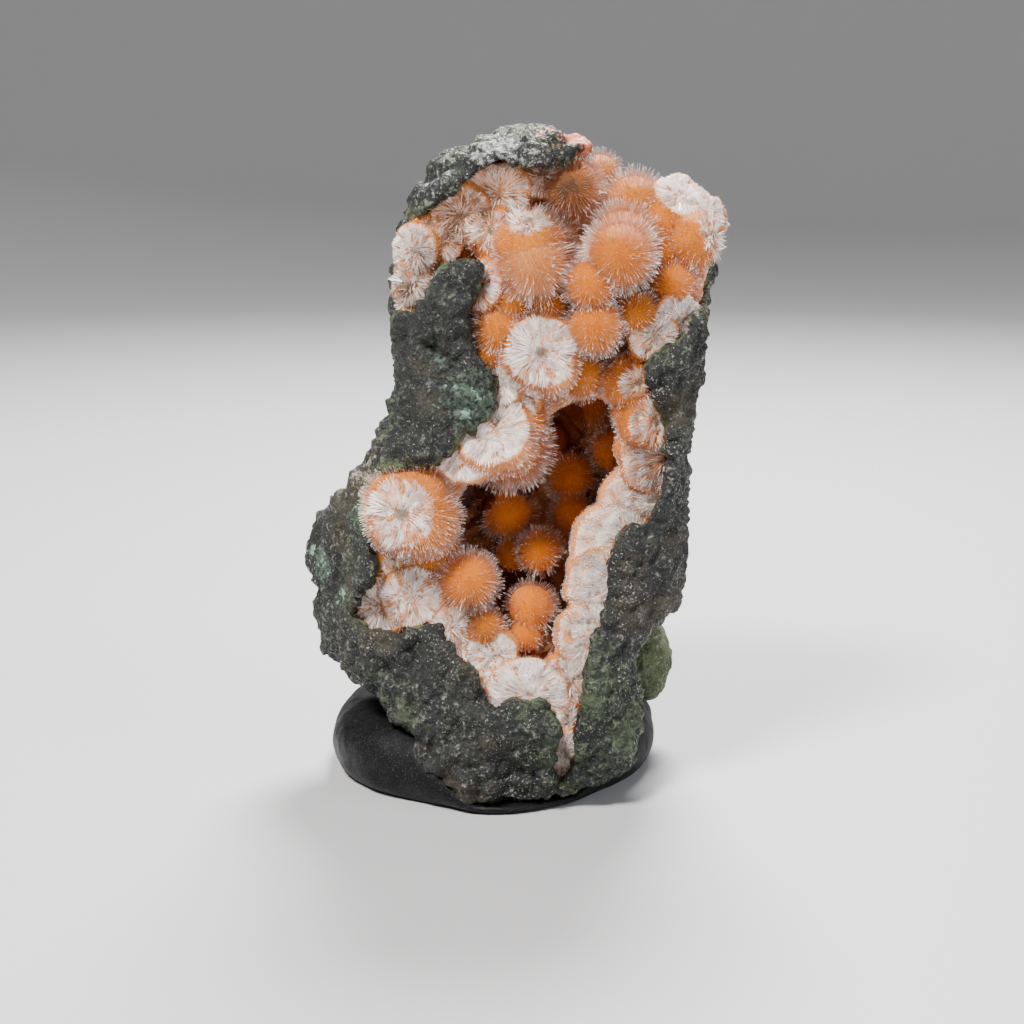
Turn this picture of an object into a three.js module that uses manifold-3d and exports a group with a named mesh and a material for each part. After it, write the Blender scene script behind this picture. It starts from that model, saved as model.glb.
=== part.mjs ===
// Thomsonite on basalt: orange balls of radiating crystals line a hollow in a broken piece of
// basalt, and the piece stands upright in a ring of black putty.
// Millimetres, +Z up. The open side of the hollow faces -Y. The origin is under the middle of
// the whole thing, on the surface it stands on.
import * as THREE from "three";
import { mergeVertices } from "three/addons/utils/BufferGeometryUtils.js";
import Module from "manifold-3d";

// The eye of the photograph. Places below that start with px, py are points of the photograph,
// 1024 px wide, and out is how far the point stands in front of the plane through the middle of
// the putty's ring.
const eye = { x: 2, y: -208.7, z: 76, pitchDeg: 12.1, focalPx: 1730, middlePx: 512 };

// Driving sizes.
const socketGap = 0.4;
const rock = {
  middle: { px: 522, py: 462 },
  frontDepth: 14.5,
  backDepth: 17.5,
  frontFullness: 3.4,
  backFullness: 2.5,
  lowest: 1.7,
  frequency: 11,
  lumps: [
    { across: 11, height: 1.5 },
    { across: 5.2, height: 0.75 },
  ],
};
const ballFineness = { largeFrom: 3.5, large: 2, small: 1 };
const shortestEdge = 0.65;
const putty = {
  ringRadius: 16.3,
  rollRadius: 4.3,
  flattenBelow: 0.8,
  sides: 12,
  steps: 36,
  padThickness: 2.6,
  pressed: { towardDeg: 11, halfWidthDeg: 15, easeDeg: 22, leaves: 0.17 },
  stoneGap: 0.4,
  shortestEdge: 0.45,
};

// The rock's edge as the photograph shows it, clockwise from the top.
const rockEdge = [
  { px: 536, py: 126, out: 4 },
  { px: 572, py: 128, out: 4 },
  { px: 596, py: 152, out: 2 },
  { px: 612, py: 186, out: 0 },
  { px: 668, py: 196, out: 0 },
  { px: 718, py: 212, out: 2 },
  { px: 738, py: 236, out: 4 },
  { px: 728, py: 272, out: 4 },
  { px: 712, py: 316, out: 4 },
  { px: 696, py: 350, out: 4 },
  { px: 690, py: 402, out: 4 },
  { px: 693, py: 462, out: 4 },
  { px: 688, py: 520, out: 4 },
  { px: 688, py: 566, out: 5 },
  { px: 682, py: 602, out: 5 },
  { px: 644, py: 622, out: 5 },
  { px: 634, py: 664, out: 6 },
  { px: 640, py: 716, out: 7 },
  { px: 624, py: 756, out: 10 },
  { px: 588, py: 780, out: 12 },
  { px: 540, py: 795, out: 13 },
  { px: 496, py: 797, out: 13 },
  { px: 454, py: 768, out: 12 },
  { px: 414, py: 740, out: 9 },
  { px: 384, py: 704, out: 6 },
  { px: 352, py: 662, out: 4 },
  { px: 322, py: 634, out: 3 },
  { px: 311, py: 578, out: 3 },
  { px: 326, py: 540, out: 3 },
  { px: 350, py: 494, out: 3 },
  { px: 368, py: 456, out: 3 },
  { px: 390, py: 424, out: 3 },
  { px: 400, py: 372, out: 3 },
  { px: 398, py: 312, out: 3 },
  { px: 400, py: 238, out: 3 },
  { px: 414, py: 194, out: 4 },
  { px: 444, py: 160, out: 4 },
  { px: 486, py: 137, out: 4 },
];

// Shoulders, ledges and dents of the rock: middle, reach and how far each stands out or in.
const rockForms = [
  { name: "cap", px: 478, py: 176, out: 13, reach: 5, height: 1.2 },
  { name: "capTop", px: 540, py: 128, out: 8, reach: 6, height: -1.6 },
  { name: "capRight", px: 572, py: 160, out: 12, reach: 3.5, height: 1.2 },
  { name: "leftShoulder", px: 440, py: 345, out: 12, reach: 6, height: 1.2 },
  { name: "leftWaist", px: 404, py: 345, out: 6, reach: 5, height: -1.2 },
  { name: "leftBrow", px: 455, py: 425, out: 12, reach: 4.5, height: 1.6 },
  { name: "lowerLeft", px: 352, py: 560, out: 8, reach: 6, height: 1.6 },
  { name: "leftLedge", px: 350, py: 625, out: 9, reach: 4, height: 1.8 },
  { name: "belowLedge", px: 398, py: 668, out: 11, reach: 4, height: -1.4 },
  { name: "footKnob", px: 505, py: 745, out: 16, reach: 5, height: 1.4 },
  { name: "footGully", px: 452, py: 706, out: 14, reach: 3.5, height: -1.6 },
  { name: "rightLedge", px: 660, py: 575, out: 9, reach: 4.5, height: 2.4 },
  { name: "rightPocket", px: 644, py: 622, out: 9, reach: 3.4, height: -3.0 },
  { name: "rightNeck", px: 672, py: 420, out: 8, reach: 5, height: -0.8 },
];

// Flat breaks on the sides and back: the way each faces and its distance from the middle.
const rockBreaks = [
  { name: "backUpper", toward: [0.1, 0.95, 0.35], at: 17 },
  { name: "backLower", toward: [-0.15, 0.93, -0.38], at: 17.5 },
  { name: "backLeft", toward: [-0.72, 0.68, -0.1], at: 18.5 },
  { name: "backRight", toward: [0.66, 0.74, 0.08], at: 17.5 },
  { name: "backCrown", toward: [-0.25, 0.6, 0.78], at: 33 },
  { name: "backHeel", toward: [0.3, 0.55, -0.8], at: 33 },
  { name: "topBack", toward: [0.35, 0.45, 0.82], at: 32 },
  { name: "frontFoot", toward: [0.05, -0.97, -0.24], at: 27.3 },
  { name: "leftFlank", toward: [-0.88, -0.42, 0.1], at: 20.5 },
  { name: "rightFlank", toward: [0.95, -0.2, -0.1], at: 19.5 },
];

// The rock's broad heel, down in the middle of the putty: middle and half sizes.
const heel = { middle: [0.5, 0.5, 15], half: [14.5, 14, 15], frequency: 5, roughness: 0.15 };

// The pale rounded lump behind the rock's lower right edge.
const sideLump = { px: 635, py: 657, out: -3, radius: 4.7, tall: 1.25, frequency: 4 };

// Where the crust takes the rock's place, as outlines in the photograph cut straight away from the
// eye: the whole crust down to a shallow floor, and the hollow down to a deep one.
const wells = [
  {
    name: "crust bed",
    floorOut: 6.5,
    samples: 84,
    outline: [
      [396, 222], [414, 224], [446, 198], [474, 178], [504, 161], [534, 172], [566, 160], [592, 150],
      [618, 140], [700, 140], [746, 196], [721, 226], [704, 262], [694, 318], [676, 344], [648, 356],
      [652, 392], [665, 420], [664, 480], [655, 512], [620, 532], [604, 572], [606, 612], [588, 652],
      [584, 700], [574, 750], [564, 790], [552, 768], [562, 724], [540, 698], [508, 700], [488, 712],
      [478, 676], [452, 648], [436, 620], [412, 630], [380, 632], [350, 608], [376, 578], [368, 530],
      [374, 490], [402, 474], [436, 468], [462, 436], [498, 420], [496, 384], [470, 344], [470, 302],
      [484, 266], [440, 266], [426, 300], [410, 314], [380, 300], [376, 240],
    ],
  },
  {
    name: "hollow",
    floorOut: -2.5,
    samples: 26,
    outline: [
      [470, 500], [500, 440], [560, 392], [606, 384], [640, 420], [640, 490], [604, 530], [592, 590],
      [560, 660], [510, 664], [456, 628], [440, 570],
    ],
  },
];
const well = { mouthOut: 32, gapPx: 4, liningOut: 11, liningFloor: 1.8, liningPx: 16 };

// The balls, with their radius out to the crystals' tips. A ball with cut is broken across: its
// flat face stands that far in front of its middle and looks along toward.
const outwards = [0, -1, 0];
const balls = [
  // crown, above the hollow
  { name: "crownLeft", px: 534, py: 262, out: 14, radius: 5.6 },
  { name: "crownFront", px: 620, py: 255, out: 15.5, radius: 4.8 },
  { name: "crownBehind", px: 623, py: 240, out: 12.2, radius: 4.9 },
  { name: "crownLobe", px: 590, py: 284, out: 15.6, radius: 3.6 },
  { name: "crownLow", px: 595, py: 327, out: 15.2, radius: 3.9 },
  { name: "crownSide", px: 636, py: 312, out: 13.4, radius: 3.2 },
  { name: "crownEdge", px: 480, py: 285, out: 13.4, radius: 3.2, cut: 0.6, toward: [-0.5, -0.85, 0.1] },
  { name: "star", px: 541, py: 352, out: 14.4, radius: 5.2, cut: 1.6, toward: [0, -1, 0.08] },
  { name: "starLeft", px: 500, py: 330, out: 12.6, radius: 4.2 },
  { name: "starRight", px: 582, py: 374, out: 11.6, radius: 3.6 },
  { name: "starBelow", px: 518, py: 398, out: 12, radius: 2.9, cut: 0.8, toward: [-0.3, -0.9, 0] },
  { name: "rightDeep", px: 664, py: 222, out: 9, radius: 4.2 },
  { name: "rightTop", px: 634, py: 203, out: 8, radius: 4.5 },
  { name: "rightSpray", px: 684, py: 196, out: 9, radius: 3.7, cut: 0.8, toward: [0.2, -0.75, 0.6] },
  { name: "rightOuter", px: 702, py: 240, out: 11, radius: 3.6, cut: 1.4, toward: [0.75, -0.6, 0.2] },
  { name: "rightMiddle", px: 672, py: 286, out: 11.5, radius: 3.6 },
  { name: "rightFoot", px: 677, py: 318, out: 11, radius: 3.1, cut: 0.6, toward: [0.3, -0.9, -0.1] },
  { name: "topBack", px: 600, py: 172, out: 6, radius: 3.0 },
  { name: "topBrown", px: 574, py: 190, out: 10.5, radius: 3.7 },
  // broken crust under the cap
  { name: "capRoot", px: 500, py: 192, out: 11, radius: 3.9, cut: 1.0, toward: [-0.1, -0.95, -0.2] },
  { name: "capSheet", px: 462, py: 214, out: 11.5, radius: 3.6, cut: 0.9, toward: [-0.2, -0.95, -0.1] },
  { name: "capEdge", px: 440, py: 240, out: 10.6, radius: 3.2, cut: 0.8, toward: [-0.3, -0.9, -0.1] },
  { name: "capMiddle", px: 492, py: 232, out: 11.6, radius: 3.4, cut: 1.6, toward: [-0.1, -1, 0.1] },
  { name: "leftRind", px: 417, py: 252, out: 7.4, radius: 3.2, cut: 1.5, toward: [-0.8, -0.6, 0] },
  { name: "leftRindLow", px: 412, py: 284, out: 6.6, radius: 2.7, cut: 1.2, toward: [-0.8, -0.6, 0] },
  // right wall, broken along the front
  { name: "wallTop", px: 626, py: 380, out: 12, radius: 3.5, cut: 2.4, toward: [0.3, -0.9, 0] },
  { name: "wallUpper", px: 642, py: 420, out: 11.6, radius: 3.9, cut: 2.0, toward: [0.35, -0.9, 0] },
  { name: "wallMiddle", px: 654, py: 456, out: 11.2, radius: 4.6, cut: 0.8, toward: [0.2, -0.95, 0.1] },
  { name: "wallFan", px: 643, py: 502, out: 11.4, radius: 5.2, cut: 0.9, toward: [0.15, -0.97, 0.1] },
  { name: "wallLow", px: 612, py: 545, out: 12.6, radius: 5.0, cut: 0.9, toward: [0.1, -0.98, 0.1] },
  { name: "wallFoot", px: 604, py: 586, out: 13.4, radius: 4.8, cut: 0.9, toward: [0.1, -0.98, 0.05] },
  { name: "wallHeel", px: 590, py: 634, out: 14, radius: 4.2, cut: 1.0, toward: [0.1, -0.98, 0.1] },
  // broken foot of the crust
  { name: "footRight", px: 566, py: 682, out: 14.6, radius: 3.6, cut: 1.0, toward: [0.1, -0.98, 0.1] },
  { name: "footFan", px: 527, py: 698, out: 15.4, radius: 5.1, cut: 1.0, toward: [0, -0.97, 0.2] },
  { name: "footLeft", px: 492, py: 694, out: 14.6, radius: 3.3, cut: 1.0, toward: [-0.1, -0.98, 0.1] },
  { name: "footSeam", px: 567, py: 722, out: 14.8, radius: 2.3, cut: 0.9, toward: [0.1, -0.98, 0.1] },
  { name: "footSeamLow", px: 563, py: 748, out: 15, radius: 2.0, cut: 0.8, toward: [0.1, -0.98, 0.1] },
  { name: "footSeamTip", px: 562, py: 774, out: 14.8, radius: 1.7, cut: 0.7, toward: [0.1, -0.98, 0.1] },
  // inside the hollow
  { name: "hollowDeep", px: 571, py: 474, out: 1, radius: 4.0 },
  { name: "hollowDeepLow", px: 572, py: 514, out: 2.5, radius: 3.2 },
  { name: "hollowLeft", px: 507, py: 511, out: 3, radius: 4.3 },
  { name: "hollowMiddle", px: 540, py: 551, out: 7.5, radius: 3.4 },
  { name: "hollowMiddleLow", px: 512, py: 556, out: 4.5, radius: 2.9 },
  { name: "hollowFloor", px: 531, py: 608, out: 9.5, radius: 3.8 },
  { name: "hollowFront", px: 468, py: 581, out: 12, radius: 4.4 },
  { name: "hollowHeel", px: 526, py: 636, out: 10.5, radius: 3.0 },
  { name: "hollowSill", px: 484, py: 628, out: 12.4, radius: 3.2 },
  { name: "hollowSillFan", px: 492, py: 655, out: 13.2, radius: 3.3, cut: 1.2, toward: [0, -0.97, 0.2] },
  { name: "hollowSillLeft", px: 452, py: 626, out: 12.4, radius: 2.6, cut: 1.0, toward: [-0.1, -0.98, 0.1] },
  { name: "hollowFarRight", px: 614, py: 450, out: 2, radius: 3.6 },
  { name: "hollowRoof", px: 590, py: 404, out: 0, radius: 3.4 },
  { name: "hollowFarLeft", px: 548, py: 440, out: 0.5, radius: 3.4 },
  // brow over the hollow's left
  { name: "browFan", px: 466, py: 446, out: 14, radius: 4.3, cut: 0.8, toward: [-0.2, -0.95, 0.2] },
  { name: "browFront", px: 492, py: 432, out: 13.6, radius: 5.6, cut: 1.2, toward: [-0.2, -0.95, 0.2] },
  { name: "browBehind", px: 508, py: 446, out: 9.5, radius: 6.0 },
  { name: "browNeck", px: 524, py: 420, out: 11.5, radius: 3.6 },
  // left ball and the broken crust under it
  { name: "leftStar", px: 413, py: 511, out: 13, radius: 6.2, cut: 3.4, toward: [-0.35, -0.92, 0.1] },
  { name: "leftStarRoot", px: 432, py: 548, out: 10, radius: 4.2 },
  { name: "leftPatch", px: 382, py: 604, out: 11, radius: 3.6, cut: 0.8, toward: [-0.25, -0.95, 0.1] },
  { name: "leftPatchRight", px: 412, py: 596, out: 11.4, radius: 3.9, cut: 1.0, toward: [-0.1, -0.97, 0.1] },
  { name: "leftPatchTop", px: 402, py: 572, out: 10, radius: 3.4, cut: 1.6, toward: [-0.2, -0.96, 0.1] },
];

const radians = THREE.MathUtils.degToRad;

// The point where the eye's sight line through a photograph point meets the plane y = -out.
function sight({ px, py, out }) {
  const pitch = radians(eye.pitchDeg);
  const across = (px - eye.middlePx) / eye.focalPx;
  const up = (eye.middlePx - py) / eye.focalPx;
  const forward = Math.cos(pitch) + Math.sin(pitch) * up;
  const rise = -Math.sin(pitch) + Math.cos(pitch) * up;
  const reach = (-out - eye.y) / forward;
  return new THREE.Vector3(eye.x + across * reach, -out, eye.z + rise * reach);
}

// A repeatable number from 0 to 1 for a corner of the noise grid.
function corner(x, y, z) {
  const s = Math.sin(x * 127.1 + y * 311.7 + z * 74.7) * 43758.5453;
  return s - Math.floor(s);
}

const ease = (t) => t * t * (3 - 2 * t);

// Smooth noise from -1 to 1, one lump per unit.
function noise(p) {
  const [x, y, z] = [p.x, p.y, p.z].map(Math.floor);
  const [u, v, w] = [ease(p.x - x), ease(p.y - y), ease(p.z - z)];
  const row = (j, k) => THREE.MathUtils.lerp(corner(x, j, k), corner(x + 1, j, k), u);
  const sheet = (k) => THREE.MathUtils.lerp(row(y, k), row(y + 1, k), v);
  return 2 * THREE.MathUtils.lerp(sheet(z), sheet(z + 1), w) - 1;
}

// Moves every vertex of a geometry by a rule that takes and returns a Vector3.
function reshape(geometry, rule) {
  const position = geometry.getAttribute("position");
  const point = new THREE.Vector3();
  for (let i = 0; i < position.count; i += 1) {
    point.fromBufferAttribute(position, i);
    const moved = rule(point);
    position.setXYZ(i, moved.x, moved.y, moved.z);
  }
  return geometry;
}

const wasm = await Module();
wasm.setup();

// A geometry as a solid that can be joined and cut.
function solid(geometry) {
  const plain = geometry.clone();
  plain.deleteAttribute("normal");
  plain.deleteAttribute("uv");
  const merged = mergeVertices(plain, 1e-4);
  return new wasm.Manifold(
    new wasm.Mesh({
      numProp: 3,
      vertProperties: new Float32Array(merged.getAttribute("position").array),
      triVerts: new Uint32Array(merged.index.array),
    }),
  );
}

function geometryOf(made) {
  const { vertProperties, triVerts } = made.getMesh();
  const geometry = new THREE.BufferGeometry();
  geometry.setAttribute("position", new THREE.BufferAttribute(vertProperties, 3));
  geometry.setIndex(new THREE.BufferAttribute(triVerts, 1));
  geometry.computeVertexNormals();
  return geometry;
}

function meshOf(name, made, look) {
  const mesh = new THREE.Mesh(geometryOf(made), new THREE.MeshStandardMaterial(look));
  mesh.name = name;
  return mesh;
}

// Distance from the rock's middle to its edge in the direction (x, z), and where the edge is.
const rockMiddle = sight({ ...rock.middle, out: 0 });
const edgePoints = rockEdge.map((point) => sight(point).sub(rockMiddle));
function edgeAt(x, z) {
  for (let i = 0; i < edgePoints.length; i += 1) {
    const a = edgePoints[i];
    const b = edgePoints[(i + 1) % edgePoints.length];
    const cross = (b.x - a.x) * z - (b.z - a.z) * x;
    const along = (a.z * x - a.x * z) / cross;
    const reach = (a.z * (b.x - a.x) - a.x * (b.z - a.z)) / cross;
    if (along >= 0 && along <= 1 && reach > 0) return a.clone().lerp(b, along);
  }
  return edgePoints[0].clone();
}

// A point of the rock's surface in one direction from its middle.
const formPlaces = rockForms.map((form) => sight(form));
const breakFacings = rockBreaks.map((flat) => new THREE.Vector3(...flat.toward).normalize());
function rockPoint(direction) {
  const flat = Math.hypot(direction.x, direction.z);
  const edge = flat > 1e-6 ? edgeAt(direction.x / flat, direction.z / flat) : new THREE.Vector3();
  const front = direction.y < 0;
  const fullness = front ? rock.frontFullness : rock.backFullness;
  const depth = front ? rock.frontDepth : rock.backDepth;
  const swell = (flat ** fullness + Math.abs(direction.y) ** fullness) ** (-1 / fullness);
  const point = edge.multiplyScalar(flat * swell);
  point.y += direction.y * depth * swell;
  breakFacings.forEach((facing, i) => {
    const beyond = facing.dot(point) / rockBreaks[i].at;
    if (beyond > 1) point.divideScalar(beyond);
  });
  point.add(rockMiddle);
  const away = direction.clone();
  rockForms.forEach((form, i) => {
    const near = Math.exp(-point.distanceToSquared(formPlaces[i]) / (2 * form.reach ** 2));
    point.addScaledVector(away, form.height * near);
  });
  rock.lumps.forEach(({ across, height }) => {
    point.addScaledVector(away, height * noise(point.clone().divideScalar(across)));
  });
  point.z = Math.max(point.z, rock.lowest);
  return point;
}

const rockBody = () => reshape(new THREE.IcosahedronGeometry(1, rock.frequency), rockPoint);

function heelBody() {
  const half = new THREE.Vector3(...heel.half);
  return reshape(new THREE.IcosahedronGeometry(1, heel.frequency), (p) => {
    p.multiplyScalar(1 + heel.roughness * noise(p.clone().multiplyScalar(2.3)));
    p.multiply(half).add(new THREE.Vector3(...heel.middle));
    return p.setZ(Math.max(p.z, rock.lowest));
  });
}

// The rounded lump at the rock's side, taller than wide.
function lumpBody() {
  const middle = sight(sideLump);
  return reshape(new THREE.IcosahedronGeometry(sideLump.radius, sideLump.frequency), (p) => {
    p.multiplyScalar(1 + 0.12 * noise(p.clone().divideScalar(sideLump.radius * 0.6)));
    return p.set(p.x, p.y, p.z * sideLump.tall).add(middle);
  });
}

// A closed outline of photograph points, grown by so many pixels, from one depth to another.
function wellBody({ outline, samples }, growPx, floorOut, mouthOut) {
  const corners = outline.map(([px, py]) => new THREE.Vector3(px, -py, 0));
  const curve = new THREE.CatmullRomCurve3(corners, true, "centripetal");
  const shape = new THREE.Shape(
    curve.getSpacedPoints(samples).slice(0, samples).map((point, i) => {
      const along = curve.getTangentAt(i / samples);
      return new THREE.Vector2(point.x - along.y * growPx, point.y + along.x * growPx);
    }),
  );
  const geometry = new THREE.ExtrudeGeometry(shape, { depth: 1, bevelEnabled: false });
  return reshape(geometry, (p) => {
    const out = THREE.MathUtils.lerp(floorOut, mouthOut, p.z);
    return sight({ px: p.x, py: -p.y, out });
  });
}

// One ball, turned by its place in the list so that no two have their facets in line.
function ballBody(ball, index) {
  const fineness = ball.radius >= ballFineness.largeFrom ? ballFineness.large : ballFineness.small;
  const geometry = new THREE.IcosahedronGeometry(ball.radius, fineness);
  geometry.rotateX(index * 0.7).rotateZ(index * 1.1);
  if (ball.cut !== undefined) {
    const facing = new THREE.Vector3(...(ball.toward ?? outwards)).normalize();
    reshape(geometry, (p) => p.addScaledVector(facing, -Math.max(0, facing.dot(p) - ball.cut)));
  }
  const { x, y, z } = sight(ball);
  return geometry.translate(x, y, z);
}

// The putty: a roll bent into a ring, flat underneath and pressed thin under the stone's toe.
function puttyRing() {
  const { ringRadius, rollRadius, sides, steps, flattenBelow, pressed } = putty;
  const bottom = -rollRadius * flattenBelow;
  return reshape(new THREE.TorusGeometry(ringRadius, rollRadius, sides, steps), (p) => {
    const angle = Math.atan2(p.x, -p.y);
    const aside = Math.abs(angle - radians(pressed.towardDeg)) - radians(pressed.halfWidthDeg);
    const free = THREE.MathUtils.smoothstep(aside, 0, radians(pressed.easeDeg));
    const swell = 1 + 0.045 * noise(new THREE.Vector3(Math.sin(angle) * 2, Math.cos(angle) * 2, 5));
    const height = (Math.max(p.z, bottom) - bottom) * swell;
    return p.set(p.x * swell, p.y * swell, height * THREE.MathUtils.lerp(pressed.leaves, 1, free));
  });
}

const puttyPad = () =>
  new THREE.CylinderGeometry(putty.ringRadius, putty.ringRadius, putty.padThickness, putty.steps)
    .rotateX(Math.PI / 2)
    .translate(0, 0, putty.padThickness / 2);

// A solid with its surface moved outwards.
function grown(made, by) {
  const geometry = geometryOf(made);
  const normal = geometry.getAttribute("normal");
  let i = -1;
  return solid(
    reshape(geometry, (p) => {
      i += 1;
      return p.addScaledVector(new THREE.Vector3().fromBufferAttribute(normal, i), by);
    }),
  );
}

// Draws edges shorter than a length together, so that the seams between joined bodies leave no
// slivers. An edge stays where that would fold the surface over or pinch it.
function withoutSlivers(made, shortest) {
  const { vertProperties, triVerts } = made.getMesh();
  const points = [];
  for (let i = 0; i < vertProperties.length; i += 3) {
    points.push(new THREE.Vector3().fromArray(vertProperties, i));
  }
  const faces = [];
  const facesAt = points.map(() => new Set());
  for (let i = 0; i < triVerts.length; i += 3) {
    faces.push([...triVerts.subarray(i, i + 3)]);
    faces.at(-1).forEach((vertex) => facesAt[vertex].add(faces.length - 1));
  }
  const doubledArea = (face) => {
    const [a, b, c] = face.map((vertex) => points[vertex]);
    return b.clone().sub(a).cross(c.clone().sub(a));
  };
  const neighbours = (vertex) => new Set([...facesAt[vertex]].flatMap((f) => faces[f]));

  function drawTogether(a, b) {
    const shared = [...facesAt[a]].filter((f) => facesAt[b].has(f));
    const beside = neighbours(b);
    const common = [...neighbours(a)].filter((v) => v !== a && v !== b && beside.has(v));
    if (shared.length !== 2 || common.length !== 2) return false;
    const others = [...facesAt[a], ...facesAt[b]].filter((f) => !shared.includes(f));
    const before = others.map((f) => doubledArea(faces[f]));
    const [oldA, oldB] = [points[a], points[b]];
    const middle = oldA.clone().lerp(oldB, 0.5);
    points[a] = middle;
    points[b] = middle;
    const folds = others.some((f, i) => {
      const after = doubledArea(faces[f]);
      return after.dot(before[i]) < 0.35 * after.length() * before[i].length();
    });
    if (folds) {
      points[a] = oldA;
      points[b] = oldB;
      return false;
    }
    shared.forEach((f) => {
      faces[f].forEach((vertex) => facesAt[vertex].delete(f));
      faces[f] = null;
    });
    facesAt[b].forEach((f) => {
      faces[f] = faces[f].map((vertex) => (vertex === b ? a : vertex));
      facesAt[a].add(f);
    });
    facesAt[b].clear();
    return true;
  }

  const isShort = ([a, b]) => points[a].distanceTo(points[b]) < shortest;
  for (let drawn = 1; drawn > 0; ) {
    const edges = faces
      .filter(Boolean)
      .flatMap(([a, b, c]) => [[a, b], [b, c], [c, a]])
      .filter(([a, b]) => a < b && isShort([a, b]));
    drawn = edges.filter(
      ([a, b]) => facesAt[a].size > 0 && facesAt[b].size > 0 && isShort([a, b]) && drawTogether(a, b),
    ).length;
  }
  const geometry = new THREE.BufferGeometry();
  const corners = faces.filter(Boolean).flat().flatMap((vertex) => points[vertex].toArray());
  geometry.setAttribute("position", new THREE.Float32BufferAttribute(corners, 3));
  return solid(geometry);
}

function joined(solids) {
  return solids.reduce((whole, next) => whole.add(next));
}

const wholeRock = joined([rockBody(), heelBody(), lumpBody()].map(solid));
const [bed, hollow] = wells;
const lining = solid(wellBody(bed, 0, bed.floorOut, well.liningOut))
  .add(solid(wellBody(hollow, 0, hollow.floorOut, well.liningOut)))
  .subtract(solid(wellBody(hollow, -well.liningPx, hollow.floorOut + well.liningFloor, well.mouthOut)))
  .intersect(wholeRock);
const room = joined(wells.map((space) => solid(wellBody(space, 0, space.floorOut, well.mouthOut))));
const cutOut = joined(
  wells.map((space) => solid(wellBody(space, well.gapPx, space.floorOut - socketGap, well.mouthOut + 1))),
);
const crust = withoutSlivers(
  joined([...balls.map((ball, i) => solid(ballBody(ball, i))), lining]).intersect(room),
  shortestEdge,
);
const matrix = withoutSlivers(wholeRock.subtract(cutOut), shortestEdge);
const stone = withoutSlivers(wholeRock.add(crust), shortestEdge);
const ring = withoutSlivers(
  solid(puttyRing()).add(solid(puttyPad())).subtract(grown(stone, putty.stoneGap)),
  putty.shortestEdge,
);

const group = new THREE.Group();
group.add(meshOf("basalt_matrix", matrix, { color: 0x3c4440, roughness: 0.9 }));
group.add(meshOf("thomsonite_crust", crust, { color: 0xdc8a4c, roughness: 0.45 }));
group.add(meshOf("putty_ring", ring, { color: 0x17181a, roughness: 0.55 }));

// The origin goes under the middle of the whole thing, on the surface it stands on.
const extent = new THREE.Box3().setFromObject(group);
const middle = extent.getCenter(new THREE.Vector3());
group.children.forEach(({ geometry }) => geometry.translate(-middle.x, -middle.y, -extent.min.z));
export default group;
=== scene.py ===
import math

import bmesh
import bpy
import numpy as np
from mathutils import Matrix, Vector, noise
from mathutils.bvhtree import BVHTree
from mathutils.kdtree import KDTree


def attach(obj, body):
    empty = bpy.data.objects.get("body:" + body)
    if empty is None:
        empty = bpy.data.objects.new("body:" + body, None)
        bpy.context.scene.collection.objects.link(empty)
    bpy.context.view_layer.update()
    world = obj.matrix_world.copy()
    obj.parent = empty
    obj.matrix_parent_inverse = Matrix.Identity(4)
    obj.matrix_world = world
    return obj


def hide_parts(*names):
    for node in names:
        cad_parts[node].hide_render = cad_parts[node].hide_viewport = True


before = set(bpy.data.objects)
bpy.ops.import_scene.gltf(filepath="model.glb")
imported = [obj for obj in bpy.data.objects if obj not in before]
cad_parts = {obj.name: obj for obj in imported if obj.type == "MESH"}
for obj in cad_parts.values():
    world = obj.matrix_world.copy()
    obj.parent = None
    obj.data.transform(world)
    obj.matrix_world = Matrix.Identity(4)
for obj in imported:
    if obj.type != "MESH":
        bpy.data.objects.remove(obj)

noise.seed_set(7)  # noise_vector takes its offsets from this seed

# Thomsonite on basalt: balls of radiating crystals line the hollow of a broken stone that stands
# in a ring of black putty. Lists are in millimetres, meshes in metres.
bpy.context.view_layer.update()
milli = 0.001

# The eye of the photograph in this frame. Below, px and py are points of the photograph, and out
# is how far a point stands in front of the putty ring's middle.
view = {"x": 0.357, "y": -207.871, "z": 76.0, "pitchDeg": 12.1, "focalPx": 1730.0, "middlePx": 512.0}
ringMiddle = np.array([-1.643, 0.829, 0.0])
pitch = math.radians(view["pitchDeg"])
eye = np.array([view["x"], view["y"], view["z"]])
aside = np.array([1.0, 0.0, 0.0])
ahead = np.array([0.0, math.cos(pitch), -math.sin(pitch)])
upward = np.array([0.0, math.sin(pitch), math.cos(pitch)])


def sight(px, py, out):
    # the point at that depth on the eye's line through a photograph point
    across = (np.asarray(px, float) - view["middlePx"]) / view["focalPx"]
    up = (view["middlePx"] - np.asarray(py, float)) / view["focalPx"]
    direction = ahead + across[..., None] * aside + up[..., None] * upward
    reach = (ringMiddle[1] - np.asarray(out, float) - eye[1]) / direction[..., 1]
    return eye + direction * reach[..., None]


def photoPlace(points):
    line = points - eye
    depth = line @ ahead
    px = view["middlePx"] + view["focalPx"] * (line @ aside) / depth
    py = view["middlePx"] - view["focalPx"] * (line @ upward) / depth
    return np.stack([px, py], -1)


def unit(vectors):
    return vectors / np.maximum(np.linalg.norm(vectors, axis=-1, keepdims=True), 1e-9)


def easeStep(values, low, high):
    t = np.clip((values - low) / (high - low), 0, 1)
    return t * t * (3 - 2 * t)


# Meshes.

def newPiece(name, points, faces):
    mesh = bpy.data.meshes.new(name)
    mesh.from_pydata((np.asarray(points) * milli).tolist(), [], faces)
    mesh.update()
    piece = bpy.data.objects.new(name, mesh)
    bpy.context.scene.collection.objects.link(piece)
    return piece


def pointsOf(mesh):
    flat = np.empty(len(mesh.vertices) * 3)
    mesh.vertices.foreach_get("co", flat)
    return flat.reshape(-1, 3) / milli


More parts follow.
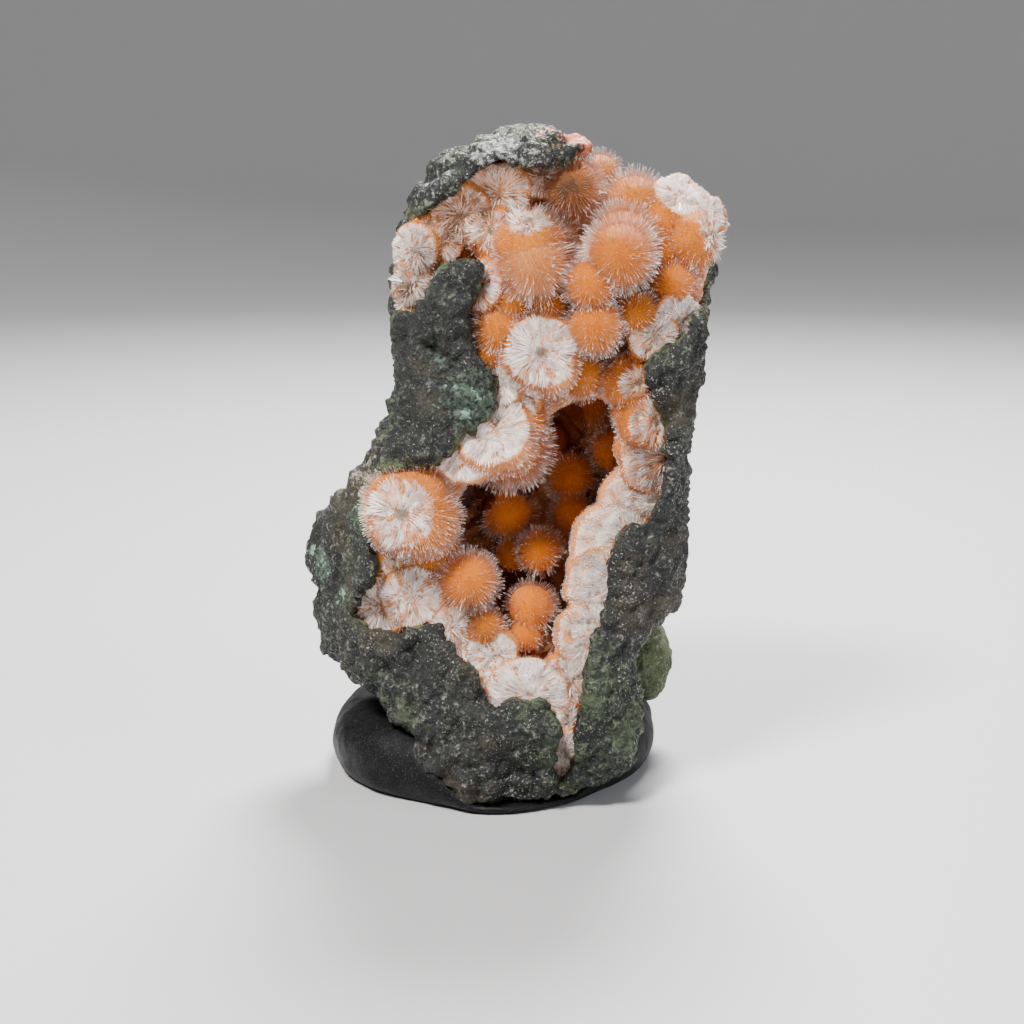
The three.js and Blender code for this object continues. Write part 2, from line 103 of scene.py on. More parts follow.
def normalsOf(mesh):
    flat = np.empty(len(mesh.vertices) * 3)
    mesh.vertex_normals.foreach_get("vector", flat)
    return flat.reshape(-1, 3)


def movePoints(mesh, points):
    mesh.vertices.foreach_set("co", (points * milli).ravel())
    mesh.update()


def trianglesOf(mesh):
    mesh.calc_loop_triangles()
    corners = np.empty(len(mesh.loop_triangles) * 3, np.int32)
    mesh.loop_triangles.foreach_get("vertices", corners)
    return corners.reshape(-1, 3)


def withModifiers(piece):
    # the piece's evaluated mesh takes the place of its own, and its modifiers go
    graph = bpy.context.evaluated_depsgraph_get()
    mesh = bpy.data.meshes.new_from_object(piece.evaluated_get(graph), depsgraph=graph)
    piece.modifiers.clear()
    old = piece.data
    piece.data = mesh
    mesh.name = piece.name
    bpy.data.meshes.remove(old)
    return piece


def remeshed(piece, voxel):
    modifier = piece.modifiers.new("remesh", "REMESH")
    modifier.mode = "VOXEL"
    modifier.voxel_size = voxel * milli
    return withModifiers(piece)


def setAttribute(mesh, name, values):
    kind, key = ("FLOAT_VECTOR", "vector") if values.ndim == 2 else ("FLOAT", "value")
    layer = mesh.attributes.get(name) or mesh.attributes.new(name, kind, "POINT")
    layer.data.foreach_set(key, values.astype(np.float32).ravel())


def joined(name, bodies):
    points, faces, start = [], [], 0
    for bodyPoints, bodyFaces in bodies:
        points.append(bodyPoints)
        faces += [[corner + start for corner in face] for face in bodyFaces]
        start += len(bodyPoints)
    return newPiece(name, np.concatenate(points), faces)


def icosphere(levels):
    form = bmesh.new()
    bmesh.ops.create_icosphere(form, subdivisions=levels, radius=1)
    points = np.array([vertex.co for vertex in form.verts])
    faces = [[vertex.index for vertex in face.verts] for face in form.faces]
    form.free()
    return points, faces


def smoothCurve(corners, samples):
    # a closed curve through the corners, evenly sampled
    corners = np.asarray(corners, float)
    before, after, far = (np.roll(corners, shift, 0) for shift in (1, -1, -2))
    dense = []
    for t in np.linspace(0, 1, 12, endpoint=False):
        dense.append(0.5 * (2 * corners + t * (after - before)
                            + t * t * (2 * before - 5 * corners + 4 * after - far)
                            + t ** 3 * (3 * corners - before - 3 * after + far)))
    line = np.stack(dense, 1).reshape(-1, 2)
    steps = np.linalg.norm(np.roll(line, -1, 0) - line, axis=1)
    along = np.concatenate([[0], np.cumsum(steps)])
    wanted = np.linspace(0, along[-1], samples, endpoint=False)
    ring = np.vstack([line, line[:1]])
    return np.stack([np.interp(wanted, along, ring[:, axis]) for axis in (0, 1)], -1)


def grownOutline(outline, grow):
    # the outlines run clockwise as seen in the photograph
    along = unit(np.roll(outline, -1, 0) - np.roll(outline, 1, 0))
    return outline + np.stack([along[:, 1], -along[:, 0]], -1) * grow


def facingOut(piece):
    form = bmesh.new()
    form.from_mesh(piece.data)
    bmesh.ops.recalc_face_normals(form, faces=form.faces)
    form.to_mesh(piece.data)
    form.free()
    return piece


def prism(outline, low, high):
    # the outline from one depth to another, along the eye's lines
    back = sight(outline[:, 0], outline[:, 1], np.full(len(outline), low))
    front = sight(outline[:, 0], outline[:, 1], np.full(len(outline), high))
    count = len(outline)
    sides = [[i, (i + 1) % count, count + (i + 1) % count, count + i] for i in range(count)]
    caps = [list(range(count))[::-1], [count + i for i in range(count)]]
    return np.concatenate([back, front]), sides + caps


def insideOutline(places, outline):
    x, y = places[:, 0][:, None], places[:, 1][:, None]
    x0, y0 = outline[:, 0], outline[:, 1]
    x1, y1 = np.roll(x0, -1), np.roll(y0, -1)
    crosses = (y0 > y) != (y1 > y)
    with np.errstate(divide="ignore", invalid="ignore"):
        reach = (x1 - x0) * (y - y0) / (y1 - y0) + x0
    return (crosses & (x < reach)).sum(1) % 2 == 1


def nearestOnOutline(places, outline):
    start, end = outline, np.roll(outline, -1, 0)
    edge = end - start
    t = np.einsum("pij,ij->pi", places[:, None] - start, edge) / (edge ** 2).sum(1)
    spots = start + np.clip(t, 0, 1)[..., None] * edge
    nearest = ((places[:, None] - spots) ** 2).sum(2).argmin(1)
    return spots[np.arange(len(places)), nearest]


# Materials.

def newMaterial(name):
    material = bpy.data.materials.new(name)
    material.use_nodes = True
    tree = material.node_tree
    tree.nodes.clear()
    output = tree.nodes.new("ShaderNodeOutputMaterial")
    shader = tree.nodes.new("ShaderNodeBsdfPrincipled")
    tree.links.new(shader.outputs["BSDF"], output.inputs["Surface"])
    return material, tree, shader


def feed(tree, socket, value):
    if isinstance(value, bpy.types.NodeSocket):
        tree.links.new(value, socket)
    elif hasattr(value, "__len__") and len(value) == 3 and socket.type == "RGBA":
        socket.default_value = (*value, 1)
    else:
        socket.default_value = value


def attributeNode(tree, name, output="Fac"):
    node = tree.nodes.new("ShaderNodeAttribute")
    node.attribute_name = name
    return node.outputs[output]


def mathNode(tree, operation, a, b, clamp=False):
    node = tree.nodes.new("ShaderNodeMath")
    node.operation = operation
    node.use_clamp = clamp
    feed(tree, node.inputs[0], a)
    feed(tree, node.inputs[1], b)
    return node.outputs[0]


def product(tree, a, b):
    return mathNode(tree, "MULTIPLY", a, b)


def total(tree, a, b):
    return mathNode(tree, "ADD", a, b)


def swing(tree, value, middle, gain):
    # how far a value stands from its middle, times a gain
    return product(tree, mathNode(tree, "SUBTRACT", value, middle), gain)


def mixNode(tree, amount, a, b):
    node = tree.nodes.new("ShaderNodeMix")
    node.data_type = "RGBA"
    feed(tree, node.inputs["Factor"], amount)
    feed(tree, next(s for s in node.inputs if s.name == "A" and s.type == "RGBA"), a)
    feed(tree, next(s for s in node.inputs if s.name == "B" and s.type == "RGBA"), b)
    return next(s for s in node.outputs if s.type == "RGBA")


def rangeNode(tree, value, low, high, newLow=0.0, newHigh=1.0):
    node = tree.nodes.new("ShaderNodeMapRange")
    node.interpolation_type = "SMOOTHSTEP"
    for socket, given in zip(node.inputs, (value, low, high, newLow, newHigh)):
        feed(tree, socket, given)
    return node.outputs[0]


def rampNode(tree, value, stops):
    node = tree.nodes.new("ShaderNodeValToRGB")
    ramp = node.color_ramp
    while len(ramp.elements) < len(stops):
        ramp.elements.new(0.5)
    for element, (place, colour) in zip(ramp.elements, stops):
        element.position = place
        element.color = (*colour, 1)
    feed(tree, node.inputs[0], value)
    return node.outputs[0]


def noiseNode(tree, vector, scale, detail=3.0, roughness=0.55):
    node = tree.nodes.new("ShaderNodeTexNoise")
    feed(tree, node.inputs["Vector"], vector)
    for name, value in (("Scale", scale), ("Detail", detail), ("Roughness", roughness)):
        node.inputs[name].default_value = value
    return node.outputs[0]


def cellNode(tree, vector, scale):
    node = tree.nodes.new("ShaderNodeTexVoronoi")
    feed(tree, node.inputs["Vector"], vector)
    node.inputs["Scale"].default_value = scale
    return node.outputs["Distance"]


def objectPlace(tree):
    return tree.nodes.new("ShaderNodeTexCoord").outputs["Object"]


def bumpNode(tree, height, strength, distance):
    node = tree.nodes.new("ShaderNodeBump")
    node.inputs["Strength"].default_value = strength
    node.inputs["Distance"].default_value = distance * milli
    feed(tree, node.inputs["Height"], height)
    return node.outputs[0]


def setShader(tree, shader, **values):
    for name, value in values.items():
        feed(tree, shader.inputs[name.replace("_", " ")], value)


# The crust: balls of crystals and, where they are broken across, fans.
# px, py, out, radius to the tips, depth of colour; a broken one also has how far its face stands
# in front of its middle and the way the face looks.
balls = [
    # crown, above the hollow
    (534, 262, 14.0, 5.6, 0.16), (620, 255, 15.5, 4.8, 0.50), (623, 240, 12.2, 4.9, 0.35),
    (590, 284, 15.6, 3.6, 0.72), (595, 327, 15.2, 3.9, 0.66), (636, 312, 13.4, 3.2, 0.40),
    (500, 330, 12.6, 4.2, 0.42), (582, 374, 11.6, 3.6, 0.30), (664, 222, 9.0, 4.2, 0.72),
    (634, 203, 8.0, 4.5, 0.25), (672, 286, 11.5, 3.6, 0.66), (600, 172, 6.0, 3.0, 0.12),
    (571, 187, 10.5, 4.3, 0.72), (549, 303, 13.0, 3.2, 0.55), (512, 300, 12.6, 3.6, 0.32),
    (660, 252, 10.6, 3.0, 0.62), (489, 352, 12.4, 2.9, 0.45), (533, 251, 12.2, 5.9, 0.05),
    # inside the hollow; the deepest of them have tones near 1, whose darker colour is partly painted shade
    (571, 474, 1.0, 4.0, 0.95), (572, 514, 2.5, 3.2, 0.85), (507, 511, 3.0, 4.3, 0.88),
    (540, 551, 7.5, 3.4, 0.80), (512, 556, 4.5, 2.9, 0.85), (531, 608, 9.5, 3.8, 0.82),
    (468, 581, 12.0, 4.4, 0.74), (526, 636, 10.5, 3.0, 0.80), (484, 628, 12.4, 3.2, 0.42),
    (614, 450, 2.0, 3.6, 0.90), (592, 402, -1.2, 3.2, 1.0), (548, 440, 0.5, 3.4, 0.95),
    (508, 446, 9.5, 6.0, 0.30), (524, 420, 11.5, 3.6, 0.35), (432, 548, 10.0, 4.2, 0.50),
]
fans = [
    (480, 285, 13.4, 3.2, 0.55, 0.6, (-0.5, -0.85, 0.1)),
    (541, 352, 14.4, 5.2, 0.26, 1.6, (0.0, -1.0, 0.08)),
    (518, 398, 12.0, 2.9, 0.15, 0.8, (-0.3, -0.9, 0.0)),
    (531, 247, 13.3, 4.8, 0.35, 3.3, (-0.1, -0.46, 0.88)),
    (652, 336, 13.4, 3.0, 0.25, 0.8, (0.1, -0.95, 0.0)),
    (545, 174, 11.6, 3.0, 0.60, 0.6, (0.0, -0.98, -0.1)),
    (682, 197, 9.0, 3.5, 0.15, 0.4, (0.3, -0.62, 0.72)),
    (702, 214, 9.8, 2.8, 0.25, 0.5, (0.2, -0.8, 0.5)),
    (712, 221, 9.2, 2.1, 0.30, 0.4, (0.2, -0.9, 0.4)),
    (413, 302, 10.0, 2.4, 0.40, 0.6, (-0.3, -0.9, -0.1)),
    (650, 396, 12.0, 2.9, 0.30, 0.6, (0.2, -0.95, 0.0)),
    (697, 240, 11.2, 3.7, 0.45, 1.9, (0.82, -0.48, 0.3)),
    (677, 318, 12.8, 3.1, 0.20, 0.6, (0.3, -0.9, -0.1)),
    (500, 192, 11.0, 3.9, 0.58, 1.0, (-0.1, -0.95, -0.2)),
    (462, 214, 11.5, 3.6, 0.62, 0.9, (-0.2, -0.95, -0.1)),
    (440, 240, 10.6, 3.2, 0.60, 0.8, (-0.3, -0.9, -0.1)),
    (492, 232, 11.6, 3.4, 0.66, 1.6, (-0.1, -1.0, 0.1)),
    (417, 250, 10.3, 3.2, 0.20, 0.8, (-0.5, -0.85, 0.0)),
    (412, 284, 10.2, 2.8, 0.30, 0.6, (-0.4, -0.9, 0.0)),
    (425, 268, 10.6, 2.3, 0.62, 0.6, (-0.2, -0.95, 0.1)),
    # right wall
    (626, 380, 12.0, 3.5, 0.60, 2.4, (0.3, -0.9, 0.0)),
    (642, 420, 11.6, 3.9, 0.55, 2.0, (0.35, -0.9, 0.0)),
    (654, 456, 11.2, 4.6, 0.50, 0.8, (0.2, -0.95, 0.1)),
    (643, 502, 11.4, 5.2, 0.08, 0.9, (0.15, -0.97, 0.1)),
    (612, 545, 12.6, 5.0, 0.05, 0.9, (0.1, -0.98, 0.1)),
    (604, 586, 13.4, 4.8, 0.08, 0.9, (0.1, -0.98, 0.05)),
    (590, 634, 14.0, 4.2, 0.10, 1.0, (0.1, -0.98, 0.1)),
    # foot
    (566, 682, 14.6, 3.6, 0.30, 1.0, (0.1, -0.98, 0.1)),
    (527, 698, 15.4, 5.1, 0.04, 1.0, (0.0, -0.97, 0.2)),
    (492, 694, 14.6, 3.3, 0.15, 1.0, (-0.1, -0.98, 0.1)),
    (567, 722, 15.7, 2.6, 0.10, 0.9, (0.1, -0.98, 0.1)),
    (563, 748, 17.2, 2.4, 0.12, 0.8, (0.1, -0.98, 0.1)),
    (562, 771, 17.6, 2.2, 0.20, 0.7, (0.1, -0.98, 0.1)),
    (492, 655, 13.2, 3.3, 0.15, 1.2, (0.0, -0.97, 0.2)),
    (452, 626, 12.4, 2.6, 0.45, 1.0, (-0.1, -0.98, 0.1)),
    (458, 646, 12.8, 2.5, 0.25, 0.8, (-0.1, -0.98, 0.1)),
    # brow and left ball
    (466, 446, 14.0, 4.3, 0.08, 0.8, (-0.2, -0.95, 0.2)),
    (494, 436, 13.4, 5.4, 0.16, 1.5, (-0.15, -0.80, 0.58)),
    (413, 511, 13.0, 6.2, 0.42, 3.2, (-0.38, -0.91, 0.08)),
    (408, 470, 12.2, 2.7, 0.40, 0.9, (-0.2, -0.95, 0.2)),
    (436, 474, 12.8, 2.3, 0.30, 0.8, (-0.1, -0.95, 0.2)),
    (503, 384, 12.6, 2.5, 0.12, 0.8, (-0.3, -0.92, 0.0)),
    (382, 604, 11.0, 3.6, 0.35, 0.8, (-0.25, -0.95, 0.1)),
    (412, 596, 11.4, 3.9, 0.30, 1.0, (-0.1, -0.97, 0.1)),
    (397, 621, 11.2, 2.3, 0.35, 0.7, (-0.1, -0.97, 0.1)),
    (402, 572, 10.0, 3.4, 0.45, 1.6, (-0.2, -0.96, 0.1)),
]
crustEdge = [
    (396, 222), (414, 224), (446, 198), (474, 178), (504, 161), (534, 172), (566, 160), (592, 150),
    (618, 140), (700, 140), (746, 196), (721, 226), (704, 262), (694, 318), (676, 344), (648, 356),
    (652, 392), (661, 420), (659, 480), (655, 512), (620, 532), (604, 572), (606, 612), (588, 652),
    (584, 700), (574, 750), (564, 790), (552, 768), (562, 724), (540, 698), (508, 700), (488, 712),
    (478, 676), (452, 648), (436, 620), (412, 630), (380, 632), (350, 608), (376, 578), (368, 530),
    (374, 490), (402, 474), (436, 468), (462, 436), (498, 420), (496, 384), (470, 344), (470, 302),
    (484, 266), (440, 266), (426, 300), (410, 314), (380, 300), (376, 240),
]
seamEdge = [
    (412, 236), (446, 206), (474, 188), (504, 172), (534, 184), (566, 176), (600, 196), (640, 214),
    (684, 216), (704, 236), (698, 262), (688, 312), (676, 344), (648, 356),
    (652, 392), (661, 420), (659, 480), (655, 512), (620, 532), (604, 572), (606, 612), (588, 652),
    (584, 700), (574, 750), (564, 784), (552, 768), (562, 724), (540, 698), (508, 700), (488, 712),
    (478, 676), (452, 648), (436, 620), (412, 630), (380, 632), (356, 608), (380, 578), (374, 530),
    (380, 490), (402, 474), (436, 468), (462, 436), (498, 420), (496, 384), (474, 344), (474, 302),
    (486, 262), (440, 262), (426, 290), (414, 300), (410, 270),
]
hollowEdge = [
    (438, 512), (474, 452), (560, 392), (606, 384), (640, 420), (640, 490), (604, 530), (592, 590),
    (560, 660), (510, 664), (456, 628), (440, 570),
]
crust = {
    # how much of a ball is solid: a deep orange one, a pale one, a fan broken deep or near its top
    "coreShare": 0.72, "paleShare": 0.67, "deepFanShare": 0.83, "fanShare": 0.97,
    "voxel": 0.37, "lowest": 1.2, "edgeGrow": 7, "slabGrow": 9, "cupGrow": 4, "hollowWallPx": 14,
    "seamBack": 5.6, "seamFront": 10.6, "hollowBack": -2.6, "hollowFloor": -0.8, "spaceFront": 30,
    "ballLevels": 5, "uneven": 0.2, "bend": 0.27,
    "splinterRelief": 0.16, "broadRelief": 0.30, "lumpRelief": 0.22, "ballRelief": 0.05,
    # how far right of its middle a fan of the right wall starts
    "nucleusAside": {20: 0.8, 21: 1.0, 22: 1.4, 23: 2.4, 24: 2.4, 25: 1.8, 26: 1.2},
    # px, py, out and reach of the places where shade is painted dark brown onto the crust
    "paintedShade": [(568, 186, 14.0, 3.4), (548, 206, 14.0, 2.2), (552, 168, 12.0, 2.6), (424, 262, 12.0, 1.8),
              (405, 290, 11.0, 1.6), (452, 232, 12.4, 1.5), (482, 208, 12.6, 1.3), (652, 482, 13.4, 1.9),
              (636, 508, 14.4, 1.5), (598, 566, 15.4, 1.0), (470, 618, 14.6, 1.2)],
}


def crustMiddles():
    rows = [row[:4] for row in balls + fans]
    middles = sight(*np.array(rows).T[:3])
    radii = np.array([row[3] for row in rows])
    tones = np.array([row[4] for row in balls + fans])
    cuts = np.array([9.0] * len(balls) + [row[5] for row in fans])
    facings = unit(np.array([(0, -1, 0)] * len(balls) + [row[6] for row in fans], float))
    ballTones = tones[:len(balls)]
    shares = np.concatenate([
        crust["paleShare"] + (crust["coreShare"] - crust["paleShare"]) * easeStep(ballTones, 0.3, 0.6),
        np.where(cuts[len(balls):] >= 1.4, crust["deepFanShare"], crust["fanShare"])])
    return middles, radii, tones, cuts, facings, shares


middles, radii, tones, cuts, facings, shares = crustMiddles()
nucleusAside = np.zeros(len(radii))
for row, shift in crust["nucleusAside"].items():
    nucleusAside[len(balls) + row] = shift


def buildCrustBody():
    outline = grownOutline(smoothCurve(crustEdge, 160), crust["edgeGrow"])
    spherePoints, sphereFaces = icosphere(crust["ballLevels"])
    bodies = []
    for i, (middle, radius, cut, facing, share) in enumerate(zip(middles, radii, cuts, facings, shares)):
        points = spherePoints * radius * share
        if i >= len(balls):
            start = Vector((i * 3.7, 0, 0))
            uneven = [noise.noise(Vector(point) * 1.5 + start) for point in spherePoints]
            points = points * (1 + crust["uneven"] * np.array(uneven))[:, None]
        over = np.maximum(points @ facing - cut, 0)
        points = points - over[:, None] * facing + middle
        places = photoPlace(points)
        outside = ~insideOutline(places, outline)
        if outside.any():
            pulled = nearestOnOutline(places[outside], outline)
            depth = ringMiddle[1] - points[outside, 1]
            points[outside] = sight(pulled[:, 0], pulled[:, 1], depth)
        bodies.append((points, sphereFaces))
    seam = smoothCurve(seamEdge, 150)
    hollow = smoothCurve(hollowEdge, 60)
    body = joined("thomsoniteBalls", bodies)
    slab = facingOut(newPiece("seamSlab", *prism(
        grownOutline(seam, crust["slabGrow"]), crust["seamBack"], crust["seamFront"])))
    cup = facingOut(newPiece("hollowCup", *prism(
        grownOutline(hollow, crust["cupGrow"]), crust["hollowBack"], crust["seamFront"])))
    space = facingOut(newPiece("hollowSpace", *prism(
        grownOutline(hollow, -crust["hollowWallPx"]), crust["hollowFloor"], crust["spaceFront"])))
    for shell in (slab, cup):
        cutter = shell.modifiers.new("open", "BOOLEAN")
        cutter.operation = "DIFFERENCE"
        cutter.object = space
        withModifiers(shell)
    parts = [body, slab, cup]
    whole = joined("thomsoniteCrust", [
        (pointsOf(part.data), [list(face.vertices) for face in part.data.polygons]) for part in parts])
    for part in parts + [space]:
        bpy.data.objects.remove(part)
    places = pointsOf(whole.data)
    places[:, 2] = np.maximum(places[:, 2], crust["lowest"])
    movePoints(whole.data, places)
    return remeshed(whole, crust["voxel"])


def describeCrust(piece):
    # which ball each point belongs to, the crystal's direction there and how the surface broke
    mesh = piece.data
    points, normals = pointsOf(mesh), normalsOf(mesh)
    owners = np.zeros(len(points), int)
    nearest = np.full(len(points), 1e9)
    onFace = np.zeros(len(points))
    for i, (middle, radius, cut, facing, share) in enumerate(
            zip(middles, radii, cuts, facings, shares)):
        away = points - middle
        ballGap = np.linalg.norm(away, axis=1) - radius * share
        faceGap = away @ facing - cut
        gap = np.maximum(ballGap, faceGap)
        closer = gap < nearest
        nearest = np.where(closer, gap, nearest)
        owners = np.where(closer, i, owners)
        onFace = np.where(closer, easeStep(faceGap - ballGap, -0.25, 0.35), onFace)
    broken = np.where(owners >= len(balls), 1.0, 0.0)
    seam = easeStep(nearest, 0.35, 0.9)
    face = np.maximum(onFace * broken, seam)
    away = points - middles[owners]
    # broken fans spread from beside their middle, and not quite straight
    away[:, 0] -= face * nucleusAside[owners]
    flat = away - face[:, None] * (away * facings[owners]).sum(1)[:, None] * facings[owners]
    rel = np.linalg.norm(flat, axis=1) / radii[owners]
    bend = np.array([noise.noise_vector(Vector(point) * 0.55) for point in points])
    ray = unit(unit(away) + crust["bend"] * bend * (face * easeStep(rel, 0.15, 0.55))[:, None])
    paintedShade = np.zeros(len(points))
    for px, py, out, reach in crust["paintedShade"]:
        paintedShade = np.maximum(paintedShade, np.exp(-((points - sight(px, py, out)) ** 2).sum(1) / (2 * reach ** 2)))
    return {
        "points": points, "normals": normals, "owners": owners, "ray": ray, "paintedShade": paintedShade,
        "rel": rel, "face": face, "seam": seam, "tone": tones[owners],
    }


def roughenCrust(piece, facts):
    # splintery relief on what is broken, a fine one on the balls
    points, normals, ray = facts["points"], facts["normals"], facts["ray"]
    lift = np.empty(len(points))
    for i, (place, way, owner, face) in enumerate(
            zip(points, ray, facts["owners"], facts["face"])):
        turn = Vector(way) * 9 + Vector((owner * 3.1, owner * 1.7, 0))
        if face > 0.02:
            fine = noise.noise(turn * 1.6)
            broad = noise.noise(turn * 0.42)
            lump = noise.noise(Vector(place) * 0.75)
            lift[i] = face * (crust["splinterRelief"] * fine + crust["broadRelief"] * broad
                              + crust["lumpRelief"] * lump)
        else:
            lift[i] = crust["ballRelief"] * noise.noise(Vector(place) * 1.3)
    movePoints(piece.data, points + normals * lift[:, None])


def nearTree(points):
    finder = KDTree(len(points))
    for i, point in enumerate(points):
        finder.insert(point, i)
    finder.balance()
    return finder


def openness(points, normals, tree, reach=14.0, rays=14):
    # the share of directions around each normal that leave freely
    golden = math.pi * (3 - math.sqrt(5))
    directions = [Vector((math.cos(golden * i) * math.sqrt(1 - z * z),
                          math.sin(golden * i) * math.sqrt(1 - z * z), z))
                  for i, z in enumerate(np.linspace(0.95, -0.95, rays))]
    offSurface = 0.35 * milli
    free = np.zeros(len(points))
    for i, (point, normal) in enumerate(zip(points * milli, normals)):
        start = Vector(point + normal * offSurface)
        facing = Vector(normal)
        tried = [d for d in directions if d.dot(facing) > 0.15]
        free[i] = sum(tree.ray_cast(start, d, reach * milli)[0] is None for d in tried) / len(tried)
    return free


print("crust body")
crustPiece = buildCrustBody()
crustFacts = describeCrust(crustPiece)
roughenCrust(crustPiece, crustFacts)
for polygon in crustPiece.data.polygons:
    polygon.use_smooth = True
print("crust triangles", len(trianglesOf(crustPiece.data)))


# The stone: the solid's own form, broken up at several sizes.
stone = {
    "voxel": 0.43, "lowest": 0.6, "smoothLump": (635, 657, -3.0),
    "ledges": {"across": 4.6, "depth": 0.95}, "blocks": {"across": 2.5, "depth": 0.85},
    "knobs": {"across": 1.2, "depth": 0.36}, "grain": {"across": 0.5, "depth": 0.14},
    "steps": {"across": 11.0, "depth": 1.5, "from": -4.0, "to": 6.0}, "besideCrust": 1.8,
    "outward": 0.2, "warp": 0.9, "warpAcross": 0.3, "pitFrom": -0.15, "pitTo": 0.30,
}


def stoneLift(place):
    # broken ledges, blocks with cracks between them, round knobs and a fine grain
    warp = place + noise.noise_vector(place * stone["warpAcross"]) * stone["warp"]
    ledges = 0.5 - (math.hypot(noise.noise(warp / stone["ledges"]["across"]), 0.12) - 0.12) * 2.2
    near, nextNear = noise.voronoi(warp / stone["blocks"]["across"] + Vector((3.1, 7.7, 1.3)))[0][:2]
    blocks = min(nextNear - near, 0.42) * 1.6 - 0.4
    near = noise.voronoi(warp / stone["knobs"]["across"] + Vector((4.7, 9.1, 8.3)))[0][0]
    knobs = 0.55 - 1.6 * near * near
    far, farther = noise.voronoi(place / stone["steps"]["across"] + Vector((1.7, 4.4, 8.8)))[0][:2]
    behind = float(easeStep(place.y, stone["steps"]["from"], stone["steps"]["to"]))
    steps = (min(farther - far, 0.30) * 3.0 - 0.55) * behind
    lift = (stone["outward"] + stone["steps"]["depth"] * steps
            + stone["ledges"]["depth"] * ledges + stone["blocks"]["depth"] * blocks
            + stone["knobs"]["depth"] * knobs
            + stone["grain"]["depth"] * noise.noise(place / stone["grain"]["across"]))
    return lift, blocks + 0.35 * knobs + 0.3 * ledges


def buildStone():
    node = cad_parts["basalt_matrix"]
    form = bmesh.new()
    form.from_mesh(node.data)
    bmesh.ops.remove_doubles(form, verts=form.verts, dist=1e-7)
    mesh = bpy.data.meshes.new("basaltStone")
    form.to_mesh(mesh)
    form.free()
    for layer in list(mesh.attributes):
        if layer.name in ("sharp_face", "sharp_edge"):
            mesh.attributes.remove(layer)
    mesh.materials.clear()
    piece = bpy.data.objects.new("basaltStone", mesh)
    bpy.context.scene.collection.objects.link(piece)
    remeshed(piece, stone["voxel"])
    points, normals = pointsOf(piece.data), normalsOf(piece.data)
    lift, height = np.array([stoneLift(Vector(point)) for point in points]).T
    # painted shade: the stone is marked darker where its relief sinks into cracks and creases
    setAttribute(piece.data, "creaseShade", 1 - easeStep(height, stone["pitFrom"], stone["pitTo"]))
    fromLump = np.linalg.norm(points - sight(*stone["smoothLump"]), axis=1)
    lift *= 0.35 + 0.65 * easeStep(fromLump, 5.0, 7.0)
    finder = nearTree(pointsOf(crustPiece.data)[::3])
    gap = np.array([finder.find(point)[2] for point in points])
    lift = np.where(gap < stone["besideCrust"], np.maximum(lift, 0), lift)
    points = points + normals * lift[:, None]
    points[:, 2] = np.maximum(points[:, 2], stone["lowest"])
    movePoints(piece.data, points)
    return piece


print("stone")
stonePiece = buildStone()
print("stone triangles", len(trianglesOf(stonePiece.data)))


